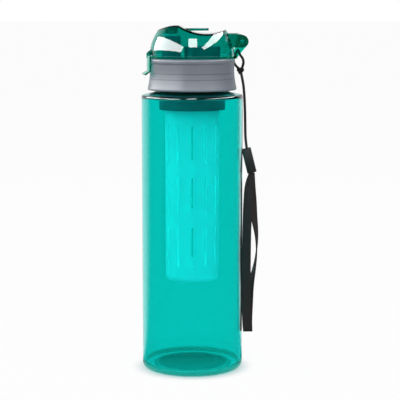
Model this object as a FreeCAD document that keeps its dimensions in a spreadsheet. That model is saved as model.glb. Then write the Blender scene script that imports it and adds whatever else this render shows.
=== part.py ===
import FreeCAD, Part
import math
import operator
import os
from types import SimpleNamespace

import Sketcher

Vector = FreeCAD.Vector

# Driving sizes in millimetres and degrees. The bottle stands on z = 0 with its axis on z,
# the hinge and the lanyard on +x and the latch on -x.
SIZES = {
    # Bottle
    "body_radius": 36.0,
    "body_wall": 2.0,
    "body_height": 197.5,
    "base_round": 4.4,
    "base_floor": 2.0,
    "punt_depth": 1.6,
    "foot_width": 8.5,
    "punt_slope": 1.5,
    "shoulder_rise": 2.1,
    "shoulder_round": 1.5,
    "neck_radius": 26.5,
    "neck_wall": 2.2,
    "neck_height": 19.7,
    # Screw thread
    "thread_pitch": 4.0,
    "thread_depth": 1.4,
    "thread_root": 1.9,
    "thread_crest": 0.8,
    "thread_start": 4.4,
    "neck_thread_rise": 6.0,
    "cap_thread_rise": 4.0,
    "thread_clearance": 0.3,
    "ridge_clearance": 0.4,
    "thread_sink": 0.5,
    # Screw cap
    "cap_gap": 1.4,
    "seal_thick": 1.6,
    "deck_thick": 2.5,
    "cap_wall": 1.65,
    "cap_foot_step": 1.65,
    "cap_foot_height": 1.2,
    "cap_waist_bottom": 14.0,
    "cap_bow": 0.6,
    "cap_bow_height": 6.8,
    "cap_lip": 0.6,
    "cap_lip_height": 2.8,
    "cap_lip_slope": 1.2,
    "cap_lip_round": 1.6,
    "cap_foot_round": 0.6,
    "line_width": 0.4,
    "line_depth": 0.15,
    "line_upper": 12.0,
    "line_lower": 8.0,
    "platform_gap": 0.85,
    "platform_margin": 4.0,
    "platform_width": 16.0,
    "platform_height": 8.1,
    "platform_wall": 1.8,
    "seal_inset": 0.1,
    "seal_clearance": 0.4,
    # Infuser
    "head_clearance": 0.8,
    "head_wall": 1.0,
    "head_drop": 12.4,
    "head_seat": 11.8,
    "head_height": 25.8,
    "skirt_clearance": 0.3,
    "skirt_wall": 2.0,
    "ring_section": 0.6,
    "ring_clearance": 0.05,
    "ring_height": 5.1,
    "groove_play": 0.1,
    "basket_inset": 4.05,
    "basket_taper": 0.45,
    "basket_length": 134.4,
    "basket_round": 3.7,
    "basket_wall": 1.4,
    "basket_clearance": 0.2,
    "flange_thick": 1.6,
    "slot_width": 1.6,
    "slot_gap": 8.0,
    "slot_first": 12.0,
    "slot_last": 22.4,
    "slot_count": 12,
    # Spout and vent
    "spout_margin": 1.05,
    "spout_radius": 6.75,
    "spout_bore": 5.0,
    "spout_height": 15.4,
    "spout_flange": 8.3,
    "spout_flange_thick": 1.2,
    "stem_radius": 4.9,
    "stem_bore": 3.7,
    "stem_clearance": 0.1,
    "stem_barb": 0.35,
    "stem_barb_length": 1.6,
    "vent_cap_radius": 3.2,
    "vent_cap_thick": 0.9,
    "vent_stem_radius": 1.4,
    "vent_barb": 0.7,
    "vent_barb_length": 2.4,
    # Hinge ring
    "ring_inset": 0.45,
    "ring_width": 6.0,
    "ring_thick": 1.6,
    "hinge_reach": 5.2,
    "hinge_height": 10.3,
    "barrel_radius": 4.45,
    "barrel_half": 7.5,
    "ear_gap": 0.5,
    "ear_thick": 3.0,
    "ear_inset": 0.6,
    "ear_overhang": 1.7,
    "pin_radius": 1.2,
    "pin_clearance": 0.05,
    "pin_blind": 2.2,
    "pin_recess": 0.2,
    "eye_reach": 2.8,
    "eye_height": 3.9,
    "eye_radius": 1.4,
    # Flip cover
    "cover_gap": 0.3,
    "cover_inset": 0.1,
    "cover_wall": 1.8,
    "cover_side_inset": 1.45,
    "cover_side_height": 9.3,
    "cover_corner_inset": 5.8,
    "cover_corner_height": 17.8,
    "brow_inset": 7.1,
    "brow_mid_height": 20.4,
    "peak_inset": 14.8,
    "peak_height": 21.2,
    "valley_inset": 16.1,
    "valley_height": 15.5,
    "crest_inset": 0.1,
    "crest_height": 18.2,
    "tab_inset": 3.3,
    "tab_length": 17.9,
    "tab_height": 17.4,
    "tab_thick": 1.7,
    "tab_lean": 0.425,
    "tab_width": 12.0,
    "arm_top": 15.6,
    "arm_bottom": 5.7,
    "arm_low_inset": 2.5,
    "arm_high_inset": 5.5,
    "arm_reach": 1.8,
    "boss_radius": 4.6,
    "boss_socket": 2.0,
    "boss_socket_depth": 2.0,
    "plug_thick": 1.5,
    "plug_radius": 6.4,
    "plug_nub_radius": 4.3,
    "plug_nub_length": 1.4,
    "plug_clearance": 0.05,
    # Latch
    "latch_reach": 0.7,
    "latch_height": 1.3,
    "knuckle_radius": 1.4,
    "knuckle_half": 4.9,
    "knuckle_clearance": 0.35,
    "lug_gap": 0.3,
    "lug_thick": 2.3,
    "lug_inset": 1.4,
    "lug_rise": 3.2,
    "latch_pin_radius": 0.6,
    "lever_gap": 0.4,
    "lever_thick": 1.35,
    "lever_span": 44.0,
    "lever_drop": 12.3,
    "hook_reach": 0.4,
    "hook_play": 0.9,
    "hook_length": 0.8,
    "tip_flare": 5.05,
    "tip_drop": 14.9,
    "tip_bevel": 0.945,
    # Lanyard
    "cord_diameter": 1.85,
    "knot_radius": 2.85,
    "knot_length": 5.7,
    "knot_end_radius": 2.2,
    "ferrule_width": 6.8,
    "ferrule_depth": 4.6,
    "ferrule_length": 18.2,
    "ferrule_round": 0.8,
    "ferrule_tilt": 14.0,
    "strap_width": 6.8,
    "strap_thick": 1.0,
}

# Routes of the lanyard, (x, y, z) in millimetres
KNOT_CENTRE = (34.5, 9.5, 214.1)
FERRULE_TOP = (38.8, 9.5, 158.2)
LOOP_POINTS = (
    (35.4, 8.3, 215.6),
    (36.7, 7.7, 218.4),
    (36.5, 7.0, 222.4),
    (33.9, 6.3, 225.6),
    (32.8, 6.1, 228.9),
    (32.8, 12.8, 228.9),
    (30.8, 13.2, 225.3),
    (29.5, 13.1, 221.2),
    (30.7, 12.3, 217.7),
    (33.3, 10.8, 215.6),
)
STRAND_POINTS = (
    (34.9, 212.6),
    (36.4, 206.4),
    (37.3, 198.4),
    (37.9, 186.6),
    (38.15, 174.0),
    (38.3, 164.6),
    (39.5, 157.0),
)
STRAND_OFFSET = 1.15
# Strap stations: x, y, z and the turn of the webbing's width about the strap's own run
STRAP_STATIONS = (
    (41.4, 8.4, 133.6, 0),
    (40.5, 8.0, 122.0, -14),
    (39.7, 7.6, 106.0, -28),
    (39.4, 7.4, 86.0, -33),
    (39.3, 7.4, 66.0, -30),
    (39.4, 7.5, 46.0, -16),
    (39.9, 7.7, 30.0, 0),
    (40.5, 8.0, 24.8, 0),
    (40.7, 9.5, 23.2, 0),
    (40.7, 11.0, 24.8, 0),
    (40.5, 11.5, 30.0, 0),
    (41.1, 11.8, 44.0, -25),
    (42.7, 12.2, 58.0, -58),
    (45.6, 12.4, 71.0, -82),
    (47.1, 12.4, 83.0, -92),
    (47.0, 12.3, 95.0, -107),
    (45.0, 11.9, 107.0, -127),
    (43.6, 11.4, 120.0, -152),
    (42.2, 10.8, 131.6, -178),
)
STRAP_SPREAD = 0.9
MOUTH_SHARE = 0.6

SLOT_ROWS = 3
# How many times past a piece its cutters and blanks reach
PAST = 2
ROUND_SHARE = 0.45
MATCH = 0.001
OPERATIONS = {
    "+": operator.add,
    "-": operator.sub,
    "*": operator.mul,
    "/": operator.truediv,
}


class Size:
    """A size: its number, and the sheet expression that the number comes from."""

    def __init__(self, value, text):
        self.value = float(value)
        self.text = text

    def __float__(self):
        return self.value

    def __add__(self, other):
        return combine(self, "+", other)

    def __radd__(self, other):
        return combine(other, "+", self)

    def __sub__(self, other):
        return combine(self, "-", other)

    def __rsub__(self, other):
        return combine(other, "-", self)

    def __mul__(self, other):
        return combine(self, "*", other)

    def __rmul__(self, other):
        return combine(other, "*", self)

    def __truediv__(self, other):
        return combine(self, "/", other)

    def __neg__(self):
        return combine(0, "-", self)


def as_size(value):
    return value if isinstance(value, Size) else Size(value, repr(float(value)))


def combine(left, sign, right):
    left = as_size(left)
    right = as_size(right)
    value = OPERATIONS[sign](left.value, right.value)
    return Size(value, f"({left.text} {sign} {right.text})")


doc = FreeCAD.newDocument("infuser_bottle")


def make_sheet():
    """Write the driving sizes to a sheet and give them back by name."""
    sheet = doc.addObject("Spreadsheet::Sheet", "sizes")
    for row, (alias, value) in enumerate(SIZES.items(), start=1):
        sheet.set(f"A{row}", alias.replace("_", " "))
        sheet.set(f"B{row}", str(value))
        sheet.setAlias(f"B{row}", alias)
    doc.recompute()
    return SimpleNamespace(**{alias: Size(sheet.get(alias), f"sizes.{alias}") for alias in SIZES})


s = make_sheet()


# Helpers for sketches and features

def bind(item, path, size):
    size = as_size(size)
    item.setExpression(path, size.text)


def make_body(name):
    body = doc.addObject("PartDesign::Body", name)
    body.Label = name
    return body


def sketch_on(body, plane, name, offset=None):
    sketch = body.newObject("Sketcher::SketchObject", name)
    origin = next(item for item in body.Origin.OriginFeatures if item.Role == plane)
    sketch.AttachmentSupport = (origin, [""])
    sketch.MapMode = "FlatFace"
    if offset is not None:
        bind(sketch, "AttachmentOffset.Base.z", offset)
    return sketch


def flat(point):
    return Vector(float(point[0]), float(point[1]), 0)


def hold(sketch, edge, end, x, y):
    """Fix one end of an edge at (x, y) from the sketch's origin."""
    for kind, axis, size in (("DistanceX", -2, as_size(x)), ("DistanceY", -1, as_size(y))):
        if abs(size.value) < MATCH:
            sketch.addConstraint(Sketcher.Constraint("PointOnObject", edge, end, axis))
            continue
        if size.value > 0:
            rule = Sketcher.Constraint(kind, -1, 1, edge, end, size.value)
        else:
            size = -size
            rule = Sketcher.Constraint(kind, edge, end, -1, 1, size.value)
        index = sketch.addConstraint(rule)
        bind(sketch, f"Constraints[{index}]", size)


def add_edge(sketch, start, finish):
    """Add a line, or an arc where finish names a point on the way; give its id and two ends."""
    first = flat(start)
    last = flat(finish)
    if len(finish) < 3:
        return sketch.addGeometry(Part.LineSegment(first, last), False), 1, 2
    via = finish[2]
    edge = sketch.addGeometry(Part.Arc(first, flat(via), last), False)
    point = sketch.addGeometry(Part.Point(flat(via)), True)
    hold(sketch, point, 1, *via)
    sketch.addConstraint(Sketcher.Constraint("PointOnObject", point, 1, edge))
    if sketch.getPoint(edge, 1).distanceToPoint(first) < MATCH:
        return edge, 1, 2
    return edge, 2, 1


def draw(sketch, corners):
    """Close a loop through corners, each (x, y) or, at the end of an arc, (x, y, way point)."""
    count = len(corners)
    edges = [add_edge(sketch, corners[i], corners[(i + 1) % count]) for i in range(count)]
    for i, (edge, start, finish) in enumerate(edges):
        follower = edges[(i + 1) % count]
        sketch.addConstraint(Sketcher.Constraint("Coincident", edge, finish, follower[0], follower[1]))
        hold(sketch, edge, start, corners[i][0], corners[i][1])


def draw_circle(sketch, x, y, radius):
    circle = sketch.addGeometry(Part.Circle(flat((x, y)), Vector(0, 0, 1), float(radius)), False)
    index = sketch.addConstraint(Sketcher.Constraint("Radius", circle, float(radius)))
    bind(sketch, f"Constraints[{index}]", radius)
    hold(sketch, circle, 3, x, y)


def touch_point(corner, centre, radius, side):
    """Where the tangent from a corner meets a circle, on its left (+1) or right (-1) side."""
    reach = flat(centre) - flat(corner)
    lean = math.asin(float(radius) / reach.Length)
    along = math.sqrt(reach.Length ** 2 - float(radius) ** 2)
    heading = math.atan2(reach.y, reach.x) + side * lean
    return flat(corner) + Vector(math.cos(heading), math.sin(heading), 0) * along


def draw_teardrop(sketch, centre, radius, tail):
    """A round end on centre, with tangents to the first and last corners of a tail.

    The tail runs clockwise round the outline, and the round end follows it clockwise too.
    """
    start = touch_point(tail[-1], centre, radius, 1)
    finish = touch_point(tail[0], centre, radius, -1)
    middle = flat(centre)
    chord = (finish - start).normalize()
    outward = Vector(-chord.y, chord.x, 0)
    if outward.dot(flat(tail[0]) + flat(tail[-1]) - middle * 2) > 0:
        outward = -outward
    via = middle + outward * float(radius)
    arc = sketch.addGeometry(Part.Arc(start, via, finish), False)
    ends = (1, 2) if sketch.getPoint(arc, 1).distanceToPoint(start) < MATCH else (2, 1)
    points = [finish] + [flat(corner) for corner in tail] + [start]
    lines = [
        sketch.addGeometry(Part.LineSegment(points[i], points[i + 1]), False)
        for i in range(len(points) - 1)
    ]
    for i in range(len(lines) - 1):
        sketch.addConstraint(Sketcher.Constraint("Coincident", lines[i], 2, lines[i + 1], 1))
        hold(sketch, lines[i], 2, *tail[i])
    sketch.addConstraint(Sketcher.Constraint("Tangent", arc, ends[1], lines[0], 1))
    sketch.addConstraint(Sketcher.Constraint("Tangent", lines[-1], 2, arc, ends[0]))
    index = sketch.addConstraint(Sketcher.Constraint("Radius", arc, float(radius)))
    bind(sketch, f"Constraints[{index}]", radius)
    hold(sketch, arc, 3, *centre)


def turn(body, name, corners, kind="PartDesign::Revolution", angle=None):
    """Revolve an outline in the xz plane about the body's z axis."""
    sketch = sketch_on(body, "XZ_Plane", name + "_outline")
    draw(sketch, corners)
    feature = body.newObject(kind, name)
    feature.Profile = sketch
    feature.ReferenceAxis = (sketch, ["V_Axis"])
    feature.Angle = 360
    if angle is not None:
        feature.Midplane = True
        bind(feature, "Angle", angle)
    doc.recompute()
    return feature


def extrude(body, name, sketch, length, kind="PartDesign::Pad", middle=True, back=False):
    """Pad or pocket a sketch, to both sides of its plane or to one."""
    feature = body.newObject(kind, name)
    feature.Profile = sketch
    if middle:
        feature.SideType = "Symmetric"
    feature.Reversed = back
    bind(feature, "Length", length)
    doc.recompute()
    return feature


def pocket(body, name, sketch, length, middle=True, back=False):
    """Pocket a sketch and make sure that it cuts."""
    before = body.Tip.Shape.Volume
    feature = extrude(body, name, sketch, length, "PartDesign::Pocket", middle, back)
    if feature.Shape.Volume > before - MATCH:
        raise RuntimeError(f"{name} cuts nothing")
    return feature


def add_thread(body, name, corners, rise):
    sketch = sketch_on(body, "XZ_Plane", name + "_outline")
    draw(sketch, corners)
    feature = body.newObject("PartDesign::AdditiveHelix", name)
    feature.Profile = sketch
    feature.ReferenceAxis = (sketch, ["V_Axis"])
    feature.Mode = 0
    bind(feature, "Pitch", s.thread_pitch)
    bind(feature, "Height", rise)
    doc.recompute()
    return feature


def on_circle(radius, height):
    """A test for the round edges of one radius at one height."""
    def fits(edge):
        curve = edge.Curve
        if not isinstance(curve, Part.Circle):
            return False
        return abs(curve.Radius - float(radius)) < MATCH and abs(curve.Center.z - float(height)) < MATCH
    return fits


def fillet(body, name, radius, fits):
    doc.recompute()
    base = body.Tip
    names = [f"Edge{i}" for i, edge in enumerate(base.Shape.Edges, start=1) if fits(edge)]
    if not names:
        raise RuntimeError(f"{name} finds no edge")
    feature = body.newObject("PartDesign::Fillet", name)
    feature.Base = (base, names)
    bind(feature, "Radius", radius)
    doc.recompute()
    return feature


def cylinder_on_y(name, x, z, radius, start, length):
    """A round pin along y."""
    pin = doc.addObject("Part::Cylinder", name)
    pin.Label = name
    pin.Placement = FreeCAD.Placement(Vector(), FreeCAD.Rotation(Vector(1, 0, 0), -90))
    bind(pin, "Placement.Base.x", x)
    bind(pin, "Placement.Base.y", start)
    bind(pin, "Placement.Base.z", z)
    bind(pin, "Radius", radius)
    bind(pin, "Height", length)
    return pin


# Levels and radii that follow from the driving sizes
punt_radius = s.body_radius - s.foot_width - s.punt_slope
neck_base = s.body_height + s.shoulder_rise
rim_z = neck_base + s.neck_height
neck_bore = s.neck_radius - s.neck_wall

cap_bottom = neck_base + s.cap_gap
cap_bore = s.neck_radius + s.thread_depth + s.thread_clearance
cap_waist_radius = cap_bore + s.cap_wall
cap_foot_radius = cap_waist_radius + s.cap_foot_step
cap_bow_radius = cap_waist_radius + s.cap_bow
cap_lip_radius = cap_waist_radius + s.cap_lip
seal_inner = neck_bore + s.seal_inset
seal_outer = cap_bore - s.seal_clearance
deck_bottom = rim_z + s.seal_thick
deck_top = deck_bottom + s.deck_thick
lip_bottom = deck_top - s.cap_lip_height

head_radius = neck_bore - s.head_clearance
head_bore = head_radius - s.head_wall
head_bottom = neck_base - s.head_drop
seat_z = head_bottom + s.head_seat
flange_top = seat_z + s.flange_thick
skirt_radius = head_bore - s.skirt_clearance
skirt_bottom = flange_top + s.skirt_clearance
ring_centre_radius = head_bore - s.ring_clearance - s.ring_section
ring_z = skirt_bottom + s.ring_height
basket_radius = head_radius - s.basket_inset
basket_foot_radius = basket_radius - s.basket_taper
basket_bottom = seat_z - s.basket_length
slot_room = s.basket_length - s.slot_first - s.slot_last
slot_length = (slot_room - (SLOT_ROWS - 1) * s.slot_gap) / SLOT_ROWS
slot_pitch = slot_length + s.slot_gap

ring_outer = cap_lip_radius - s.ring_inset
ring_inner = ring_outer - s.ring_width
ring_top = deck_top + s.ring_thick
hinge_x = ring_outer + s.hinge_reach
hinge_z = ring_top + s.hinge_height
ear_left = ring_outer - s.ear_inset
ear_right = ring_outer + s.ear_overhang
ear_face = s.barrel_half + s.ear_gap
ear_outer = ear_face + s.ear_thick
eye_x = ring_outer + s.eye_reach

spout_x = s.spout_flange + s.spout_margin - ring_inner
spout_top = deck_top + s.spout_height
platform_left = spout_x + s.spout_flange + s.platform_gap
platform_right = ring_inner - s.platform_margin
platform_top = deck_top + s.platform_height
vent_x = platform_right - s.platform_width / 2

cover_z = ring_top + s.cover_gap
cover_radius = ring_outer - s.cover_inset
cover_side_radius = cover_radius - s.cover_side_inset
cover_corner_radius = cover_radius - s.cover_corner_inset
brow_mid_x = s.brow_inset - cover_corner_radius
peak_x = s.peak_inset - cover_corner_radius
valley_x = cover_corner_radius - s.valley_inset
crest_x = cover_corner_radius - s.crest_inset
tab_root = peak_x + s.tab_inset
tab_reach = tab_root + s.tab_length
arm_root_low = cover_radius - s.arm_low_inset
arm_root_high = cover_radius - s.arm_high_inset
arm_shoulder = cover_radius + s.arm_reach

latch_x = -(cover_radius + s.latch_reach)
latch_z = cover_z + s.latch_height
lug_root = s.lug_inset - cover_radius
lug_face = s.knuckle_half + s.lug_gap
lever_inner = cap_lip_radius + s.lever_gap
tip_reach = lever_inner + s.tip_flare


def thread_outline(root, crest, middle):
    """The trapezoid of one thread ridge on a wall of radius root."""
    half_root = s.thread_root / 2
    half_crest = s.thread_crest / 2
    return (
        (root, middle - half_root),
        (crest, middle - half_crest),
        (crest, middle + half_crest),
        (root, middle + half_root),
    )


def make_bottle_body():
    body = make_body("bottle_body")
    inner = s.body_radius - s.body_wall
    floor = s.punt_depth + s.base_floor
    turn(body, "shell", (
        (0, s.punt_depth),
        (punt_radius, s.punt_depth),
        (punt_radius + s.punt_slope, 0),
        (s.body_radius, 0),
        (s.body_radius, s.body_height),
        (s.neck_radius, neck_base),
        (s.neck_radius, rim_z),
        (neck_bore, rim_z),
        (neck_bore, neck_base - s.body_wall),
        (inner, s.body_height - s.body_wall),
        (inner, floor),
        (0, floor),
    ))
    fillet(body, "base_edge", s.base_round, on_circle(s.body_radius, 0))
    fillet(body, "floor_edge", s.base_round - s.body_wall, on_circle(inner, floor))
    fillet(body, "shoulder_edge", s.shoulder_round, on_circle(s.body_radius, s.body_height))
    crest = s.neck_radius + s.thread_depth
    middle = neck_base + s.thread_start
    add_thread(body, "neck_thread",
               thread_outline(s.neck_radius - s.thread_sink, crest, middle), s.neck_thread_rise)
    return body


def make_mouth_seal():
    body = make_body("mouth_seal")
    turn(body, "washer", (
        (seal_inner, rim_z),
        (seal_outer, rim_z),
        (seal_outer, deck_bottom),
        (seal_inner, deck_bottom),
    ))
    return body


def platform_outline(sketch, margin):
    """A stadium on the deck, with round ends at its left and right."""
    half = s.platform_width / 2 - margin
    left = platform_left + s.platform_width / 2
    right = platform_right - s.platform_width / 2
    draw(sketch, (
        (left, -half, (left - half, 0)),
        (right, -half),
        (right, half, (right + half, 0)),
        (left, half),
    ))


def make_screw_cap():
    body = make_body("screw_cap")
    skirt_inner = skirt_radius - s.skirt_wall
    groove_floor = ring_centre_radius - s.ring_section - s.ring_clearance
    groove_half = s.ring_section + s.groove_play
    turn(body, "wall", (
        (cap_bore, cap_bottom),
        (cap_foot_radius, cap_bottom),
        (cap_foot_radius, cap_bottom + s.cap_foot_height),
        (cap_waist_radius, cap_bottom + s.cap_waist_bottom,
         (cap_bow_radius, cap_bottom + s.cap_bow_height)),
        (cap_waist_radius, lip_bottom - s.cap_lip_slope),
        (cap_lip_radius, lip_bottom),
        (cap_lip_radius, deck_top),
        (0, deck_top),
        (0, deck_bottom),
        (skirt_inner, deck_bottom),
        (skirt_inner, skirt_bottom),
        (skirt_radius, skirt_bottom),
        (skirt_radius, ring_z - groove_half),
        (groove_floor, ring_z - groove_half),
        (groove_floor, ring_z + groove_half),
        (skirt_radius, ring_z + groove_half),
        (skirt_radius, deck_bottom),
        (cap_bore, deck_bottom),
    ))
    fillet(body, "lip_edge", s.cap_lip_round, on_circle(cap_lip_radius, deck_top))
    fillet(body, "foot_edge", s.cap_foot_round, on_circle(cap_foot_radius, cap_bottom))
    half_line = s.line_width / 2
    for name, height, floor in (
        ("upper_line", s.line_upper, cap_waist_radius),
        ("lower_line", s.line_lower, cap_bow_radius - s.line_depth),
    ):
        middle = cap_bottom + height
        turn(body, name, (
            (floor, middle - half_line),
            (cap_foot_radius, middle - half_line),
            (cap_foot_radius, middle + half_line),
            (floor, middle + half_line),
        ), "PartDesign::Groove")
    raised = sketch_on(body, "XY_Plane", "platform_outline", deck_bottom)
    platform_outline(raised, 0)
    extrude(body, "platform", raised, s.deck_thick + s.platform_height, middle=False)
    hollow = sketch_on(body, "XY_Plane", "hollow_outline", deck_bottom)
    platform_outline(hollow, s.platform_wall)
    pocket(body, "platform_hollow", hollow,
           s.deck_thick + s.platform_height - s.platform_wall, middle=False, back=True)
    for name, x, radius in (
        ("spout_hole", spout_x, s.stem_radius + s.stem_clearance),
        ("vent_hole", vent_x, s.vent_stem_radius + s.stem_clearance),
    ):
        ring = sketch_on(body, "XY_Plane", name + "_circle", deck_bottom)
        draw_circle(ring, x, 0, radius)
        pocket(body, name, ring, s.deck_thick + s.platform_height, middle=False, back=True)
    middle = neck_base + s.thread_start + s.thread_pitch / 2
    add_thread(body, "cap_thread",
               thread_outline(cap_bore + s.thread_sink, s.neck_radius + s.ridge_clearance, middle),
               s.cap_thread_rise)
    return body


def make_hinge_ring():
    body = make_body("hinge_ring")
    turn(body, "ring", (
        (ring_inner, deck_top),
        (ring_outer, deck_top),
        (ring_outer, ring_top),
        (ring_inner, ring_top),
    ))
    foot = sketch_on(body, "XY_Plane", "hinge_foot_outline", deck_top)
    foot_left = ring_inner + s.ring_thick
    draw(foot, (
        (foot_left, -ear_outer),
        (ear_right, -ear_outer),
        (ear_right, ear_outer),
        (foot_left, ear_outer),
    ))
    extrude(body, "hinge_foot", foot, s.ring_thick, middle=False)
    ears = sketch_on(body, "XZ_Plane", "ears_outline")
    ear_base = deck_top + s.ring_thick / 2
    centre = (hinge_x, hinge_z)
    draw_teardrop(ears, centre, s.barrel_radius, ((ear_right, ear_base), (ear_left, ear_base)))
    extrude(body, "ears", ears, 2 * ear_outer)
    gap = sketch_on(body, "XZ_Plane", "ear_gap_outline")
    gap_right = hinge_x + PAST * s.barrel_radius
    gap_top = hinge_z + PAST * s.barrel_radius
    draw(gap, (
        (foot_left, ring_top),
        (gap_right, ring_top),
        (gap_right, gap_top),
        (foot_left, gap_top),
    ))
    pocket(body, "ear_gap", gap, 2 * ear_face)
    bore = s.pin_radius + s.pin_clearance
    for name, x, z, radius, length, front in (
        ("front_pin_hole", hinge_x, hinge_z, bore, ear_face + s.pin_blind, True),
        ("back_pin_hole", hinge_x, hinge_z, bore, ear_outer, False),
        ("lanyard_eye", eye_x, ring_top + s.eye_height, s.eye_radius, ear_outer, False),
    ):
        hole = sketch_on(body, "XZ_Plane", name + "_circle")
        draw_circle(hole, x, z, radius)
        pocket(body, name, hole, length, middle=False, back=front)
    return body


def make_hinge_pin():
    start = -(ear_face + s.pin_blind - s.pin_recess)
    return cylinder_on_y("hinge_pin", hinge_x, hinge_z, s.pin_radius, start,
                         ear_outer - s.pin_recess - start)


def make_drinking_spout():
    body = make_body("drinking_spout")
    flange_z = deck_top + s.spout_flange_thick
    barb = s.stem_radius + s.stem_barb
    barb_z = deck_bottom - s.stem_clearance
    turn(body, "tube", (
        (s.stem_bore, barb_z - s.stem_barb_length),
        (s.stem_radius, barb_z - s.stem_barb_length),
        (barb, barb_z),
        (s.stem_radius, barb_z),
        (s.stem_radius, deck_top),
        (s.spout_flange, deck_top),
        (s.spout_flange, flange_z),
        (s.spout_radius, flange_z),
        (s.spout_radius, spout_top),
        (s.spout_bore, spout_top),
        (s.spout_bore, flange_z),
        (s.stem_bore, deck_top),
    ))
    bind(body, "Placement.Base.x", spout_x)
    return body


def make_vent_valve():
    body = make_body("vent_valve")
    roof = platform_top - s.platform_wall
    top = platform_top + s.vent_cap_thick
    barb = s.vent_stem_radius + s.vent_barb
    turn(body, "mushroom", (
        (0, roof - s.vent_barb_length),
        (s.vent_stem_radius, roof - s.vent_barb_length),
        (barb, roof - s.stem_clearance),
        (s.vent_stem_radius, roof - s.stem_clearance),
        (s.vent_stem_radius, platform_top),
        (s.vent_cap_radius, platform_top),
        (s.vent_cap_radius, top - s.vent_cap_thick / 2),
        (s.vent_cap_radius - s.vent_cap_thick / 2, top),
        (0, top),
    ))
    bind(body, "Placement.Base.x", vent_x)
    return body


def cover_outline(inset):
    """Half section of the dome's round side, offset inwards by inset, open above its top."""
    high = cover_z + s.cover_corner_height
    cap = high + s.cover_corner_height
    return (
        (0, cover_z),
        (cover_radius - inset, cover_z),
        (cover_corner_radius - inset, high,
         (cover_side_radius - inset, cover_z + s.cover_side_height)),
        (cover_corner_radius / PAST, cap),
        (0, cap),
    )


def roof_outline(inset):
    """What lies under the dome's roof line, which runs along y: brow, peak, scoop and crest."""
    low = cover_z - inset
    brow_z = low + s.cover_corner_height
    far = PAST * crest_x
    run_off = crest_x / PAST
    return (
        (-far, cover_z),
        (far, cover_z),
        (far, low + s.crest_height + run_off),
        (crest_x, low + s.crest_height),
        (peak_x, low + s.peak_height, (valley_x, low + s.valley_height)),
        (-crest_x, brow_z, (brow_mid_x, low + s.brow_mid_height)),
        (-far, brow_z - run_off),
    )


def dome_solid(body_name, inset):
    """The dome as a full solid: its round side cut by its roof line."""
    side = make_body(body_name + "_side")
    turn(side, body_name + "_round", cover_outline(inset))
    roof = make_body(body_name + "_roof")
    sketch = sketch_on(roof, "XZ_Plane", body_name + "_roof_outline")
    draw(sketch, roof_outline(inset))
    extrude(roof, body_name + "_under_roof", sketch, 2 * PAST * cover_radius)
    solid = doc.addObject("Part::Common", body_name)
    solid.Base = side
    solid.Tool = roof
    doc.recompute()
    return solid


def join(kind, name, pieces):
    """A boolean of whole pieces: a union of many, or the first cut by the second."""
    result = doc.addObject(kind, name)
    if kind == "Part::MultiFuse":
        result.Shapes = pieces
    else:
        result.Base, result.Tool = pieces
    doc.recompute()
    return result


def padded_body(name, shape_sketch, width, offset=None):
    """A piece drawn in the xz plane and given a width across it."""
    body = make_body(name)
    sketch = sketch_on(body, "XZ_Plane", name + "_outline", offset)
    shape_sketch(sketch)
    extrude(body, name + "_pad", sketch, width)
    return body


def make_flip_cover():
    outer = dome_solid("cover_outer", as_size(0))
    shell = join("Part::Cut", "cover_shell", (outer, dome_solid("cover_inner", s.cover_wall)))
    hinge = (hinge_x, hinge_z)
    arm_top = cover_z + s.arm_top
    arm = padded_body("cover_arm", lambda sketch: draw_teardrop(sketch, hinge, s.barrel_radius, (
        (arm_root_low, cover_z + s.arm_bottom),
        (arm_root_high, arm_top),
        (arm_shoulder, arm_top),
    )), 2 * s.barrel_half)
    tab_low = cover_z + s.tab_height
    tab_high = tab_low + s.tab_thick
    tab_end = tab_reach - s.tab_thick / 2
    tab = padded_body("cover_tab", lambda sketch: draw(sketch, (
        (tab_root, tab_low + s.tab_lean),
        (tab_end, tab_low),
        (tab_end, tab_high, (tab_reach, tab_low + s.tab_thick / 2)),
        (tab_root, tab_high),
    )), s.tab_width)
    pieces = [shell, arm, tab]
    latch = (latch_x, latch_z)
    lug_middle = lug_face + s.lug_thick / 2
    for name, middle in (("front_lug", lug_middle), ("back_lug", -lug_middle)):
        pieces.append(padded_body(name, lambda sketch: draw_teardrop(sketch, latch, s.knuckle_radius, (
            (lug_root, latch_z + s.lug_rise),
            (lug_root, cover_z),
        )), s.lug_thick, middle))
    boss = doc.addObject("Part::Cylinder", "boss_blank")
    plug_top = spout_top + s.plug_thick
    bind(boss, "Placement.Base.x", spout_x)
    bind(boss, "Placement.Base.z", plug_top)
    bind(boss, "Radius", s.boss_radius)
    bind(boss, "Height", s.peak_height)
    pieces.append(join("Part::Common", "cover_boss", (boss, outer)))
    socket = doc.addObject("Part::Cylinder", "boss_socket_cut")
    bind(socket, "Placement.Base.x", spout_x)
    bind(socket, "Placement.Base.z", plug_top)
    bind(socket, "Radius", s.boss_socket)
    bind(socket, "Height", s.boss_socket_depth)
    lug_outer = lug_face + s.lug_thick
    cutters = [
        socket,
        cylinder_on_y("hinge_bore", hinge_x, hinge_z, s.pin_radius + s.pin_clearance,
                      -ear_outer, 2 * ear_outer),
        cylinder_on_y("knuckle_room", latch_x, latch_z, s.knuckle_radius + s.knuckle_clearance,
                      -lug_face, 2 * lug_face),
        cylinder_on_y("latch_bore", latch_x, latch_z, s.latch_pin_radius + s.pin_clearance,
                      -PAST * lug_outer, 2 * PAST * lug_outer),
    ]
    whole = join("Part::MultiFuse", "cover_whole", pieces)
    cover = join("Part::Cut", "flip_cover", (whole, join("Part::MultiFuse", "cover_cuts", cutters)))
    cover.Label = "flip_cover"
    return cover


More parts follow.
